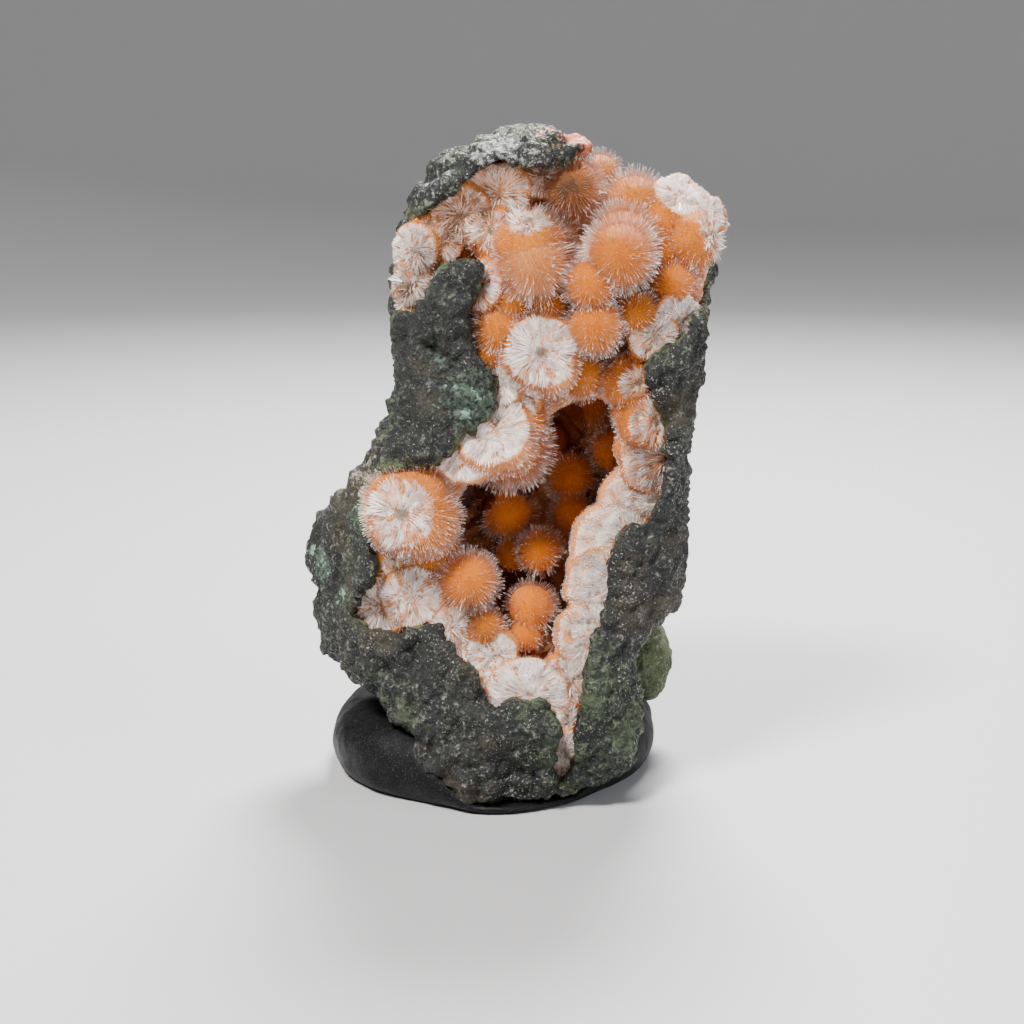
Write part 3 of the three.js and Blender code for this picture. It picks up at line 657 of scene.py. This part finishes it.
# Hair-thin crystals. Each stands on a point of the crust and follows its ball's ray.
def needleTree():
    tree = bpy.data.node_groups.new("crystalNeedles", "GeometryNodeTree")
    face = tree.interface
    face.new_socket("Geometry", in_out="OUTPUT", socket_type="NodeSocketGeometry")
    face.new_socket("Geometry", in_out="INPUT", socket_type="NodeSocketGeometry")
    for name, kind in (("Density", "Float"), ("Length", "Float"), ("Shortest", "Float"),
                       ("Thickness", "Float"), ("Width", "Float"), ("Top", "Float"), ("Lean", "Float"),
                       ("Seed", "Int"), ("Material", "Material")):
        face.new_socket(name, in_out="INPUT", socket_type="NodeSocket" + kind)
    nodes, links = tree.nodes, tree.links
    given = nodes.new("NodeGroupInput").outputs

    def add(kind, **settings):
        node = nodes.new(kind)
        for key, value in settings.items():
            setattr(node, key, value)
        return node

    def named(attribute, kind):
        node = add("GeometryNodeInputNamedAttribute", data_type=kind)
        node.inputs["Name"].default_value = attribute
        return next(socket for socket in node.outputs if socket.enabled and socket.name == "Attribute")

    def calc(operation, a, b):
        node = add("ShaderNodeMath", operation=operation)
        for socket, value in zip(node.inputs, (a, b)):
            if isinstance(value, (int, float)):
                socket.default_value = value
            else:
                links.new(value, socket)
        return node.outputs[0]

    spread = add("GeometryNodeDistributePointsOnFaces", distribute_method="RANDOM")
    links.new(given["Geometry"], spread.inputs["Mesh"])
    links.new(calc("MULTIPLY", given["Density"], named("fur", "FLOAT")), spread.inputs["Density"])
    links.new(given["Seed"], spread.inputs["Seed"])

    lean = add("FunctionNodeRandomValue", data_type="FLOAT_VECTOR")
    lean.inputs["Min"].default_value = (-1, -1, -1)
    lean.inputs["Max"].default_value = (1, 1, 1)
    leaning = add("ShaderNodeVectorMath", operation="SCALE")
    links.new(lean.outputs[0], leaning.inputs[0])
    links.new(given["Lean"], leaning.inputs["Scale"])
    way = add("ShaderNodeVectorMath", operation="ADD")
    links.new(named("grow", "FLOAT_VECTOR"), way.inputs[0])
    links.new(leaning.outputs[0], way.inputs[1])
    turn = add("FunctionNodeAlignRotationToVector", axis="Z")
    links.new(way.outputs[0], turn.inputs["Vector"])

    share = add("FunctionNodeRandomValue", data_type="FLOAT")
    floats = [socket for socket in share.inputs if socket.enabled]
    links.new(given["Shortest"], floats[0])
    floats[1].default_value = 1.0
    share.inputs["Seed"].default_value = 5
    shareOut = next(socket for socket in share.outputs if socket.enabled)
    length = calc("MULTIPLY", calc("MULTIPLY", given["Length"], named("reach", "FLOAT")), shareOut)
    size = add("ShaderNodeCombineXYZ")
    links.new(given["Thickness"], size.inputs[0])
    links.new(given["Width"], size.inputs[1])
    links.new(length, size.inputs[2])

    needle = add("GeometryNodeMeshCone", fill_type="NGON")
    for name, value in (("Vertices", 3), ("Radius Bottom", 0.5), ("Depth", 1.0)):
        needle.inputs[name].default_value = value  # a crystal a metre long, scaled where it stands
    links.new(given["Top"], needle.inputs["Radius Top"])
    place = add("ShaderNodeSeparateXYZ")
    links.new(add("GeometryNodeInputPosition").outputs[0], place.inputs[0])
    marked = add("GeometryNodeStoreNamedAttribute", data_type="FLOAT", domain="POINT")
    marked.inputs["Name"].default_value = "tip"
    links.new(needle.outputs["Mesh"], marked.inputs["Geometry"])
    links.new(place.outputs["Z"], next(s for s in marked.inputs if s.enabled and s.name == "Value"))

    copies = add("GeometryNodeInstanceOnPoints")
    links.new(spread.outputs["Points"], copies.inputs["Points"])
    links.new(marked.outputs["Geometry"], copies.inputs["Instance"])
    links.new(turn.outputs[0], copies.inputs["Rotation"])
    links.new(size.outputs[0], copies.inputs["Scale"])
    real = add("GeometryNodeRealizeInstances")
    links.new(copies.outputs[0], real.inputs[0])
    dressed = add("GeometryNodeSetMaterial")
    links.new(real.outputs[0], dressed.inputs["Geometry"])
    links.new(given["Material"], dressed.inputs["Material"])
    links.new(dressed.outputs[0], nodes.new("NodeGroupOutput").inputs[0])
    return tree


def needlePiece(name, tree, fur, grow, reach, settings):
    # a copy of the crust carries the crystals' places and is left behind when they are real
    mesh = crustPiece.data.copy()
    setAttribute(mesh, "fur", fur)
    setAttribute(mesh, "grow", grow)
    setAttribute(mesh, "reach", reach * milli)
    corners = trianglesOf(mesh)
    points = pointsOf(mesh)
    a, b, c = (points[corners[:, k]] for k in range(3))
    areas = np.linalg.norm(np.cross(b - a, c - a), axis=1) / 2
    covered = float((areas * fur[corners].mean(1)).sum())
    piece = bpy.data.objects.new(name, mesh)
    bpy.context.scene.collection.objects.link(piece)
    modifier = piece.modifiers.new("needles", "NODES")
    modifier.node_group = tree
    values = {
        "Density": settings["count"] / covered / milli ** 2, "Length": settings["length"],
        "Shortest": settings["shortest"], "Thickness": settings["thickness"] * milli,
        "Width": settings.get("width", settings["thickness"]) * milli,
        "Top": settings.get("top", 0.0), "Lean": settings["lean"], "Seed": settings["seed"],
        "Material": needleMaterial(settings),
    }
    for socket in tree.interface.items_tree:
        if socket.in_out == "INPUT" and socket.name in values:
            modifier[socket.identifier] = values[socket.name]
    withModifiers(piece)
    print(name, "per square mm", round(settings["count"] / covered, 1),
          "triangles", len(trianglesOf(piece.data)))
    return piece


needles = {  # sizes in millimetres, lengths as shares of the reach, colours from foot to tip
    "veilNeedles": {
        "count": 46000, "length": 1.0, "shortest": 0.62, "thickness": 0.030, "lean": 0.055, "seed": 3,
        "finish": "veilCrystal", "roughness": 0.4,
        "stops": [(0.0, (0.56, 0.14, 0.003)), (0.22, (0.50, 0.20, 0.09)),
                  (0.55, (0.62, 0.45, 0.39)), (1.0, (0.76, 0.68, 0.65))]},
    "fringeNeedles": {
        "count": 6500, "length": 1.07, "shortest": 0.88, "thickness": 0.052, "top": 0.32, "lean": 0.06,
        "seed": 8, "finish": "fringeCrystal", "roughness": 0.3,
        "stops": [(0.0, (0.56, 0.16, 0.02)), (0.70, (0.60, 0.34, 0.22)),
                  (0.80, (1.0, 0.98, 0.97)), (1.0, (1.0, 1.0, 1.0))]},
    "fanBlades": {
        "count": 21000, "length": 1.9, "shortest": 0.3, "thickness": 0.24, "width": 0.09, "lean": 0.09,
        "seed": 4, "finish": "bladeCrystal", "roughness": 0.3, "stain": (0.80, 0.40, 0.22),
        "stops": [(0.0, (0.78, 0.54, 0.43)), (0.4, (0.93, 0.86, 0.83)), (1.0, (1.0, 0.98, 0.97))]},
    "fanSplinters": {
        "count": 15000, "length": 1.5, "shortest": 0.3, "thickness": 0.06, "lean": 0.10, "seed": 5,
        "finish": "splinterCrystal", "roughness": 0.3, "stain": (0.86, 0.52, 0.34),
        "stops": [(0.0, (0.80, 0.58, 0.46)), (0.5, (0.94, 0.88, 0.85)), (1.0, (1.0, 0.98, 0.97))]},
}


def crystalMaterial():
    material, tree, shader = newMaterial("thomsoniteBody")
    tone = attributeNode(tree, "tone")
    rel = attributeNode(tree, "rel")
    face = attributeNode(tree, "face")
    seam = attributeNode(tree, "seam")
    free = attributeNode(tree, "open")
    ray = attributeNode(tree, "ray", "Vector")
    place = objectPlace(tree)
    cloud = noiseNode(tree, place, 420, 3)
    ballTone = mathNode(tree, "ADD", tone, swing(tree, cloud, 0.5, 0.35), True)
    # the last stop is darker: partly painted shade, given to the balls deepest in the hollow
    ball = rampNode(tree, ballTone, [
        (0.0, (0.66, 0.29, 0.11)), (0.30, (0.57, 0.165, 0.002)), (0.60, (0.54, 0.138, 0.0005)),
        (0.85, (0.74, 0.195, 0.001)), (1.0, (0.48, 0.098, 0.001))])
    # painted shade: the ball's colour goes dark red where little around it is open
    ball = mixNode(tree, rangeNode(tree, free, 0.0, 0.15), (0.22, 0.03, 0.002), ball)
    streak = noiseNode(tree, ray, 16, 2, 0.6)
    hair = noiseNode(tree, ray, 60, 1, 0.5)
    spray = noiseNode(tree, ray, 4.2, 2, 0.5)
    patch = noiseNode(tree, place, 520, 3, 0.6)
    white = mixNode(tree, rangeNode(tree, streak, 0.40, 0.60), (0.66, 0.51, 0.45), (0.95, 0.91, 0.89))
    warm = mixNode(tree, rangeNode(tree, streak, 0.40, 0.60), (0.42, 0.13, 0.035), (0.72, 0.34, 0.17))
    bare = total(tree, product(tree, tone, 0.9), swing(tree, spray, 0.46, 3.4))
    bare = total(tree, bare, swing(tree, patch, 0.5, 1.6))
    fan = mixNode(tree, rangeNode(tree, bare, 0.16, 0.66), white, warm)
    fan = mixNode(tree, rangeNode(tree, hair, 0.60, 0.72, 0, 0.5), fan, (0.55, 0.35, 0.26))
    heart = product(tree, rangeNode(tree, rel, 0.06, 0.22, 1, 0), attributeNode(tree, "heart"))
    fan = mixNode(tree, heart, fan, (0.13, 0.11, 0.07))
    fan = mixNode(tree, rangeNode(tree, rel, 0.84, 0.98, 0, 0.55), fan, (0.66, 0.30, 0.15))
    fan = mixNode(tree, product(tree, seam, 0.75), fan, (0.66, 0.25, 0.09))
    # painted shade: the broken faces go dark brown where they are closed in
    fan = mixNode(tree, rangeNode(tree, free, 0.02, 0.30), (0.22, 0.05, 0.01), fan)
    colour = mixNode(tree, face, ball, fan)
    # painted shade: the crust darkens to brown around the listed places
    paintedShade = product(tree, attributeNode(tree, "paintedShade"), rangeNode(tree, cloud, 0.35, 0.6, 0.6, 1))
    colour = mixNode(tree, paintedShade, colour, (0.075, 0.032, 0.015))
    height = total(tree, product(tree, streak, 0.7), product(tree, hair, 0.3))
    setShader(tree, shader, Base_Color=colour, Roughness=0.42, Normal=bumpNode(tree, height, 0.8, 0.4),
              Subsurface_Weight=0.1, Subsurface_Scale=0.001, Sheen_Weight=0.05, Sheen_Roughness=0.35,
              Specular_IOR_Level=0.3)
    shader.inputs["Subsurface Radius"].default_value = (1.0, 0.40, 0.18)
    shader.inputs["Sheen Tint"].default_value = (1.0, 0.86, 0.80, 1)
    return material


def needleMaterial(settings):
    material, tree, shader = newMaterial(settings["finish"])
    colour = rampNode(tree, attributeNode(tree, "tip"), settings["stops"])
    if "stain" in settings:
        tone = attributeNode(tree, "tone")
        stain = total(tree, noiseNode(tree, objectPlace(tree), 330, 3, 0.6), swing(tree, tone, 0.25, 0.3))
        grey = product(tree, rangeNode(tree, attributeNode(tree, "spray"), 0.30, 0.02, 0, 0.8),
                       rangeNode(tree, tone, 0.05, 0.30, 0.15, 1))
        colour = mixNode(tree, grey, colour, (0.50, 0.40, 0.37))
        colour = mixNode(tree, rangeNode(tree, stain, 0.53, 0.66, 0, 0.75), colour, settings["stain"])
    # painted shade: the needles darken to brown around the same places
    paintedShade = product(tree, attributeNode(tree, "paintedShade"), 0.7)
    colour = mixNode(tree, paintedShade, colour, (0.19, 0.13, 0.10))
    setShader(tree, shader, Base_Color=colour, Roughness=settings["roughness"])
    return material


print("crystal directions")
stoneAndCrust = BVHTree.FromPolygons(
    (np.concatenate([pointsOf(crustPiece.data), pointsOf(stonePiece.data)]) * milli).tolist(),
    np.concatenate([trianglesOf(crustPiece.data),
                    trianglesOf(stonePiece.data) + len(crustPiece.data.vertices)]).tolist())
points, normals = pointsOf(crustPiece.data), normalsOf(crustPiece.data)
free = openness(points, normals, stoneAndCrust)
ray, face = crustFacts["ray"], crustFacts["face"]
onBall = (1 - face) * easeStep(free, 0.0, 0.12)
sprays = np.array([noise.noise(Vector(way) * 3.2 + Vector((owner * 2.3, 0, 0)))
                   for way, owner in zip(ray, crustFacts["owners"])])
rel = crustFacts["rel"]
onFan = face * easeStep(free, 0.0, 0.2) * (1 - 0.7 * crustFacts["seam"])
onFan = onFan * easeStep(1.5 * sprays + 0.4 * rel, -0.12, 0.32) * easeStep(rel, 0.08, 0.2)
flatRay = ray - (ray * normals).sum(1)[:, None] * normals
fanWay = unit(unit(flatRay) + 0.22 * normals)
fanReach = (0.18 + 0.82 * easeStep(-rel, -0.95, -0.35)) * (0.85 + 0.6 * sprays)
share = shares[crustFacts["owners"]]
shell = radii[crustFacts["owners"]] * np.maximum(1 - share, 0.06)
heart = np.where(cuts >= 1.5, 0.85, 0.2)[crustFacts["owners"]]
for name, values in (("tone", crustFacts["tone"]), ("rel", rel), ("spray", sprays),
                     ("paintedShade", crustFacts["paintedShade"]), ("face", face), ("heart", heart),
                     ("seam", crustFacts["seam"]), ("ray", ray), ("open", free)):
    setAttribute(crustPiece.data, name, values)

tree = needleTree()
crystalPieces = [
    needlePiece(name, tree, fur, way, reach, needles[name])
    for name, fur, way, reach in (
        ("veilNeedles", onBall, ray, shell), ("fringeNeedles", onBall, ray, shell),
        ("fanBlades", onFan, fanWay, fanReach), ("fanSplinters", onFan, fanWay, fanReach))]
crustPiece.data.materials.clear()
crustPiece.data.materials.append(crystalMaterial())


# Stone's colours.
stonePatches = [  # px, py, out, reach, kind, amount
    # the dark patches are partly the basalt's own dark colour and partly painted shade, as in the pocket
    # under the right overhang
    (430, 330, 12, 5.5, "dark", 1.2), (455, 275, 12, 3.0, "dark", 0.8), (405, 400, 9, 4.0, "dark", 0.7),
    (672, 430, 7, 5.0, "dark", 0.5), (690, 330, 6, 4.0, "dark", 0.7), (665, 520, 8, 4.0, "dark", 0.8),
    (660, 590, 7, 4.0, "dark", 1.0), (340, 560, 6, 3.5, "dark", 0.5), (420, 640, 12, 3.0, "dark", 0.5),
    (466, 398, 14, 3.0, "mint", 1.0), (444, 352, 13, 3.0, "mint", 0.7), (480, 372, 14, 2.0, "mint", 0.9),
    (410, 395, 9, 3.4, "mint", 0.6), (452, 306, 13, 2.2, "mint", 0.6), (441, 266, 12, 1.4, "mint", 0.9),
    (318, 561, 4, 2.0, "mint", 0.9), (346, 590, 9, 1.8, "mint", 0.8), (361, 515, 9, 2.6, "mint", 0.6),
    (455, 696, 15, 2.0, "mint", 0.8), (466, 716, 15, 1.6, "mint", 0.8), (556, 724, 16, 1.0, "mint", 1.0),
    (470, 180, 12, 2.2, "mint", 0.6), (436, 212, 11, 1.8, "mint", 0.7), (668, 402, 9, 2.2, "mint", 0.75),
    (672, 440, 8, 2.6, "mint", 0.7), (672, 476, 8, 2.2, "mint", 0.6),
    (360, 470, 8, 4.0, "tan", 0.6), (345, 540, 7, 3.0, "tan", 0.5), (340, 640, 8, 3.5, "tan", 0.4),
    (395, 445, 10, 2.6, "tan", 0.5), (432, 742, 16, 1.5, "rust", 1.0), (440, 752, 16, 1.6, "tan", 1.5),
    (500, 150, 12, 6.0, "pale", 0.95), (440, 190, 11, 5.0, "pale", 0.85), (555, 136, 9, 3.4, "pale", 0.95),
    (573, 139, 9, 2.6, "rust", 1.6), (540, 168, 13, 2.5, "rust", 0.35),
    (505, 752, 16, 4.5, "pale", 0.86), (405, 655, 12, 3.5, "pale", 0.70), (470, 735, 16, 3.5, "olive", 0.6),
    (612, 700, 12, 5.0, "olive", 0.95), (600, 760, 13, 4.5, "olive", 0.9), (630, 650, 9, 4.0, "olive", 0.7),
    (635, 657, -3, 6.5, "olive", 1.2), (635, 657, -3, 6.0, "pale", 0.85),
    (470, 660, 14, 4.0, "olive", 0.7), (385, 655, 11, 3.5, "olive", 0.5), (360, 560, 9, 3.0, "olive", 0.6),
    (655, 385, 10, 3.0, "olive", 0.8), (668, 455, 8, 3.0, "olive", 0.4),
    (700, 290, 6, 3.0, "olive", 0.5),
]


def describeStone(piece):
    points = pointsOf(piece.data)
    kinds = {patch[4] for patch in stonePatches}
    weights = {kind: np.zeros(len(points)) for kind in sorted(kinds)}
    for px, py, out, reach, kind, amount in stonePatches:
        spot = sight(px, py, out)
        near = np.exp(-((points - spot) ** 2).sum(1) / (2 * reach ** 2))
        weights[kind] = np.maximum(weights[kind], amount * near)
    finder = nearTree(pointsOf(crustPiece.data)[free > 0.05])
    gap = np.array([finder.find(point)[2] for point in points])
    weights["contact"] = 1 - easeStep(gap, 0.1, 1.1)
    weights["olive"] = np.maximum(weights["olive"], 0.70 * (1 - easeStep(gap, 0.7, 2.8)))
    # painted shade: the stone that the crust leaves bare inside the hollow is painted dark brown
    inside = insideOutline(photoPlace(points), grownOutline(smoothCurve(hollowEdge, 60), 14))
    out = ringMiddle[1] - points[:, 1]
    weights["hollowShade"] = (inside & (out > 0) & (out < 9.5)).astype(float)
    for name, values in weights.items():
        setAttribute(piece.data, name, values)


def stoneMaterial():
    material, tree, shader = newMaterial("basalt")
    place = objectPlace(tree)
    weight = {name: attributeNode(tree, name) for name in
              ("mint", "tan", "pale", "rust", "olive", "dark", "contact", "hollowShade", "creaseShade")}
    broad = noiseNode(tree, place, 170, 4, 0.65)
    blotch = noiseNode(tree, place, 520, 3, 0.6)
    grain = noiseNode(tree, place, 1300, 4, 0.7)
    fine = noiseNode(tree, place, 3600, 2, 0.6)
    crystals = cellNode(tree, place, 1500)
    base = rampNode(tree, grain, [(0.40, (0.002, 0.003, 0.003)), (0.50, (0.005, 0.006, 0.006)),
                                  (0.56, (0.024, 0.028, 0.024)), (0.62, (0.13, 0.13, 0.11)),
                                  (0.70, (0.36, 0.35, 0.30))])
    area = noiseNode(tree, place, 62, 3, 0.6)
    base = mixNode(tree, rangeNode(tree, broad, 0.44, 0.58, 0, 0.65), base, (0.005, 0.006, 0.006))
    base = mixNode(tree, rangeNode(tree, blotch, 0.54, 0.66, 0, 0.5), base, (0.040, 0.058, 0.036))
    # dark patches: the basalt's own dark colour, and painted shade in the pocket under the right overhang
    base = mixNode(tree, product(tree, weight["dark"], 0.75), base, (0.004, 0.005, 0.005))
    # painted shade: near black in the cracks and creases of the relief
    base = mixNode(tree, product(tree, weight["creaseShade"], 0.8), base, (0.004, 0.005, 0.005))
    lichen = total(tree, area, swing(tree, grain, 0.5, 0.5))
    base = mixNode(tree, rangeNode(tree, lichen, 0.55, 0.66, 0, 0.6), base, (0.060, 0.085, 0.040))
    base = mixNode(tree, rangeNode(tree, lichen, 0.44, 0.35, 0, 0.4), base, (0.066, 0.052, 0.026))
    specks = total(tree, fine, swing(tree, broad, 0.5, 0.35))
    specks = product(tree, rangeNode(tree, specks, 0.65, 0.72, 0, 0.8),
                     rangeNode(tree, weight["dark"], 0.1, 0.9, 1, 0.25))
    base = mixNode(tree, specks, base, (0.36, 0.35, 0.30))

    def patch(colour, amount, low, high, under, speckle):
        spread = total(tree, amount, swing(tree, speckle, 0.5, 2.2))
        return mixNode(tree, rangeNode(tree, spread, low, high, 0, 0.9), under, colour)

    colour = base
    for kind, texture, dark, light, low, high, speckle in (
            ("olive", grain, (0.014, 0.024, 0.008), (0.12, 0.15, 0.055), 0.35, 0.95, grain),
            ("tan", fine, (0.16, 0.115, 0.06), (0.42, 0.35, 0.25), 0.45, 0.95, grain),
            ("mint", grain, (0.020, 0.036, 0.024), (0.085, 0.13, 0.092), 0.38, 0.80, grain),
            ("mint", fine, (0.13, 0.22, 0.16), (0.23, 0.35, 0.27), 0.76, 0.84, blotch),
            ("pale", fine, (0.10, 0.108, 0.11), (0.46, 0.48, 0.47), 0.80, 1.15, grain),
            ("rust", fine, (0.50, 0.10, 0.035), (0.70, 0.25, 0.14), 0.45, 0.9, grain)):
        colour = patch(mixNode(tree, texture, dark, light), weight[kind], low, high, colour, speckle)
    contact = mixNode(tree, grain, (0.10, 0.085, 0.028), (0.34, 0.19, 0.075))
    colour = patch(contact, product(tree, weight["contact"], 0.85), 0.45, 1.0, colour, grain)
    # painted shade: dark brown on the bare stone inside the hollow
    colour = mixNode(tree, product(tree, weight["hollowShade"], 0.9), colour, (0.05, 0.012, 0.004))
    height = total(tree, grain, product(tree, fine, 0.45))
    height = total(tree, height, product(tree, crystals, 0.5))
    roughness = rangeNode(tree, fine, 0.48, 0.66, 0.85, 0.32)
    bump = bumpNode(tree, height, 0.9, 0.45)
    setShader(tree, shader, Base_Color=colour, Roughness=roughness, Normal=bump)
    return material


print("stone colours")
describeStone(stonePiece)
stonePiece.data.materials.clear()
stonePiece.data.materials.append(stoneMaterial())


# The putty's roll, as the solid has it but smooth.
roll = {
    "ring": 16.3, "radius": 4.3, "flattenBelow": 0.8, "sides": 64, "steps": 220, "pad": 2.6,
    "pressedDeg": 11, "halfWidthDeg": 15, "easeDeg": 22, "leaves": 0.17, "voxel": 0.42,
    "padSides": 120, "dents": 0.22, "fineDents": 0.08,
}


def latticeCorner(x, y, z):
    s = math.sin(x * 127.1 + y * 311.7 + z * 74.7) * 43758.5453
    return s - math.floor(s)


def latticeNoise(x, y, z):
    base = [math.floor(value) for value in (x, y, z)]
    u, v, w = ((value - low) ** 2 * (3 - 2 * (value - low)) for value, low in zip((x, y, z), base))

    def row(j, k):
        a, b = latticeCorner(base[0], j, k), latticeCorner(base[0] + 1, j, k)
        return a + (b - a) * u

    def sheet(k):
        a, b = row(base[1], k), row(base[1] + 1, k)
        return a + (b - a) * v

    a, b = sheet(base[2]), sheet(base[2] + 1)
    return 2 * (a + (b - a) * w) - 1


def buildPutty():
    points, faces = [], []
    steps, sides = roll["steps"], roll["sides"]
    bottom = -roll["radius"] * roll["flattenBelow"]
    for i in range(steps):
        turn = 2 * math.pi * i / steps
        angle = math.atan2(math.cos(turn), -math.sin(turn))
        beside = abs(angle - math.radians(roll["pressedDeg"])) - math.radians(roll["halfWidthDeg"])
        free = float(easeStep(beside, 0, math.radians(roll["easeDeg"])))
        swell = 1 + 0.045 * latticeNoise(math.sin(angle) * 2, math.cos(angle) * 2, 5)
        for j in range(sides):
            side = 2 * math.pi * j / sides
            out = (roll["ring"] + roll["radius"] * math.cos(side)) * swell
            height = (max(roll["radius"] * math.sin(side), bottom) - bottom) * swell
            height *= roll["leaves"] + (1 - roll["leaves"]) * free
            points.append((out * math.cos(turn), out * math.sin(turn), height))
            faces.append([i * sides + j, ((i + 1) % steps) * sides + j,
                          ((i + 1) % steps) * sides + (j + 1) % sides, i * sides + (j + 1) % sides])
    count = roll["padSides"]
    around = [(roll["ring"] * math.cos(t), roll["ring"] * math.sin(t))
              for t in np.linspace(0, 2 * math.pi, count, endpoint=False)]
    padPoints = [(x, y, z) for z in (0, roll["pad"]) for x, y in around]
    padFaces = [[i, (i + 1) % count, count + (i + 1) % count, count + i] for i in range(count)]
    padFaces += [list(range(count))[::-1], list(range(count, 2 * count))]
    piece = joined("puttyRing", [(np.array(points) + ringMiddle, faces),
                                 (np.array(padPoints) + ringMiddle, padFaces)])
    remeshed(piece, roll["voxel"])
    places, normals = pointsOf(piece.data), normalsOf(piece.data)
    raised = easeStep(places[:, 2], 0.2, 1.2)
    lift = np.array([roll["dents"] * noise.noise(Vector(p) * 0.28)
                     + roll["fineDents"] * noise.noise(Vector(p) * 0.9) for p in places])
    places = places + normals * (lift * raised)[:, None]
    places[:, 2] = np.maximum(places[:, 2], 0)
    movePoints(piece.data, places)
    return piece


def puttyMaterial():
    material, tree, shader = newMaterial("blackPutty")
    place = objectPlace(tree)
    speck = noiseNode(tree, place, 5200, 2, 0.7)
    smear = noiseNode(tree, place, 130, 3, 0.5)
    dust = rangeNode(tree, speck, 0.56, 0.72)
    colour = mixNode(tree, dust, (0.0035, 0.0035, 0.004), (0.045, 0.045, 0.05))
    height = total(tree, speck, product(tree, smear, 0.5))
    setShader(tree, shader, Base_Color=colour, Roughness=rangeNode(tree, smear, 0.3, 0.7, 0.42, 0.62),
              Normal=bumpNode(tree, height, 0.5, 0.12), Specular_IOR_Level=0.15)
    return material


print("putty")
puttyPiece = buildPutty()
puttyPiece.data.materials.append(puttyMaterial())
for piece in (stonePiece, puttyPiece):
    for polygon in piece.data.polygons:
        polygon.use_smooth = True

dressing = [
    (stonePiece, "basalt", ["basalt_matrix"]), (puttyPiece, "putty", ["putty_ring"]),
    (crustPiece, "thomsonite", ["thomsonite_crust"]),
]
for piece, slotName, nodes in dressing + [(piece, "thomsonite", []) for piece in crystalPieces]:
    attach(piece, "root")
    if nodes:
        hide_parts(*nodes)


# Floor, backdrop, light and eye.
studio = {
    "floorColour": (0.43, 0.43, 0.44), "wallAt": 1.1, "bend": 0.5, "wallHigh": 1.2, "sides": 96,
    "world": 0.21,
    "lights": [  # place, size, power, colour
        ("keyLight", (-0.18, -0.26, 0.46), 0.13, 7.4, (1.0, 0.97, 0.93)),
        ("sideLight", (0.42, -0.22, 0.26), 0.24, 1.3, (0.93, 0.96, 1.0)),
        ("rimLight", (0.06, 0.26, 0.40), 0.18, 8.4, (1.0, 0.98, 0.96)),
    ],
}


def buildStage():
    # a flat floor that bends up into a wall all round
    flat = studio["wallAt"] - studio["bend"]
    line = [(0.02, 0.0), (0.4 * flat, 0.0), (flat, 0.0)]
    for t in np.linspace(0, math.pi / 2, 16)[1:]:
        line.append((flat + studio["bend"] * math.sin(t), studio["bend"] * (1 - math.cos(t))))
    line.append((studio["wallAt"], studio["wallHigh"]))
    sides = studio["sides"]
    turns = np.linspace(0, 2 * math.pi, sides, endpoint=False)
    points = [(r * math.cos(t), r * math.sin(t), z) for r, z in line for t in turns]
    faces = [[row * sides + i, (row + 1) * sides + i,
              (row + 1) * sides + (i + 1) % sides, row * sides + (i + 1) % sides]
             for row in range(len(line) - 1) for i in range(sides)]
    faces.append(list(range(sides)))
    mesh = bpy.data.meshes.new("floor")
    mesh.from_pydata(points, [], faces)
    floor = bpy.data.objects.new("floor", mesh)
    bpy.context.scene.collection.objects.link(floor)
    for polygon in mesh.polygons:
        polygon.use_smooth = True
    material, tree, shader = newMaterial("paleFloor")
    setShader(tree, shader, Base_Color=studio["floorColour"], Roughness=0.6)
    mesh.materials.append(material)


def buildLights():
    target = Vector((0, 0, 0.04))
    for name, place, size, power, colour in studio["lights"]:
        light = bpy.data.lights.new(name, "AREA")
        light.shape = "DISK"
        light.size, light.energy, light.color = size, power, colour
        lamp = bpy.data.objects.new(name, light)
        lamp.location = place
        lamp.rotation_euler = (target - Vector(place)).to_track_quat("-Z", "Y").to_euler()
        bpy.context.scene.collection.objects.link(lamp)
    world = bpy.data.worlds.new("studioAir")
    bpy.context.scene.world = world
    world.use_nodes = True
    world.node_tree.nodes["Background"].inputs[0].default_value = (0.95, 0.97, 1.0, 1)
    world.node_tree.nodes["Background"].inputs[1].default_value = studio["world"]


def buildCamera():
    lens = bpy.data.cameras.new("eye")
    lens.sensor_width = 36
    lens.lens = 36 * view["focalPx"] / 1024
    lens.clip_start, lens.clip_end = 0.01, 10
    camera = bpy.data.objects.new("eye", lens)
    camera.location = eye * milli
    camera.rotation_euler = (math.pi / 2 - pitch, 0, 0)
    bpy.context.scene.collection.objects.link(camera)
    bpy.context.scene.camera = camera


print("stage, lights and camera")
buildStage()
buildLights()
buildCamera()
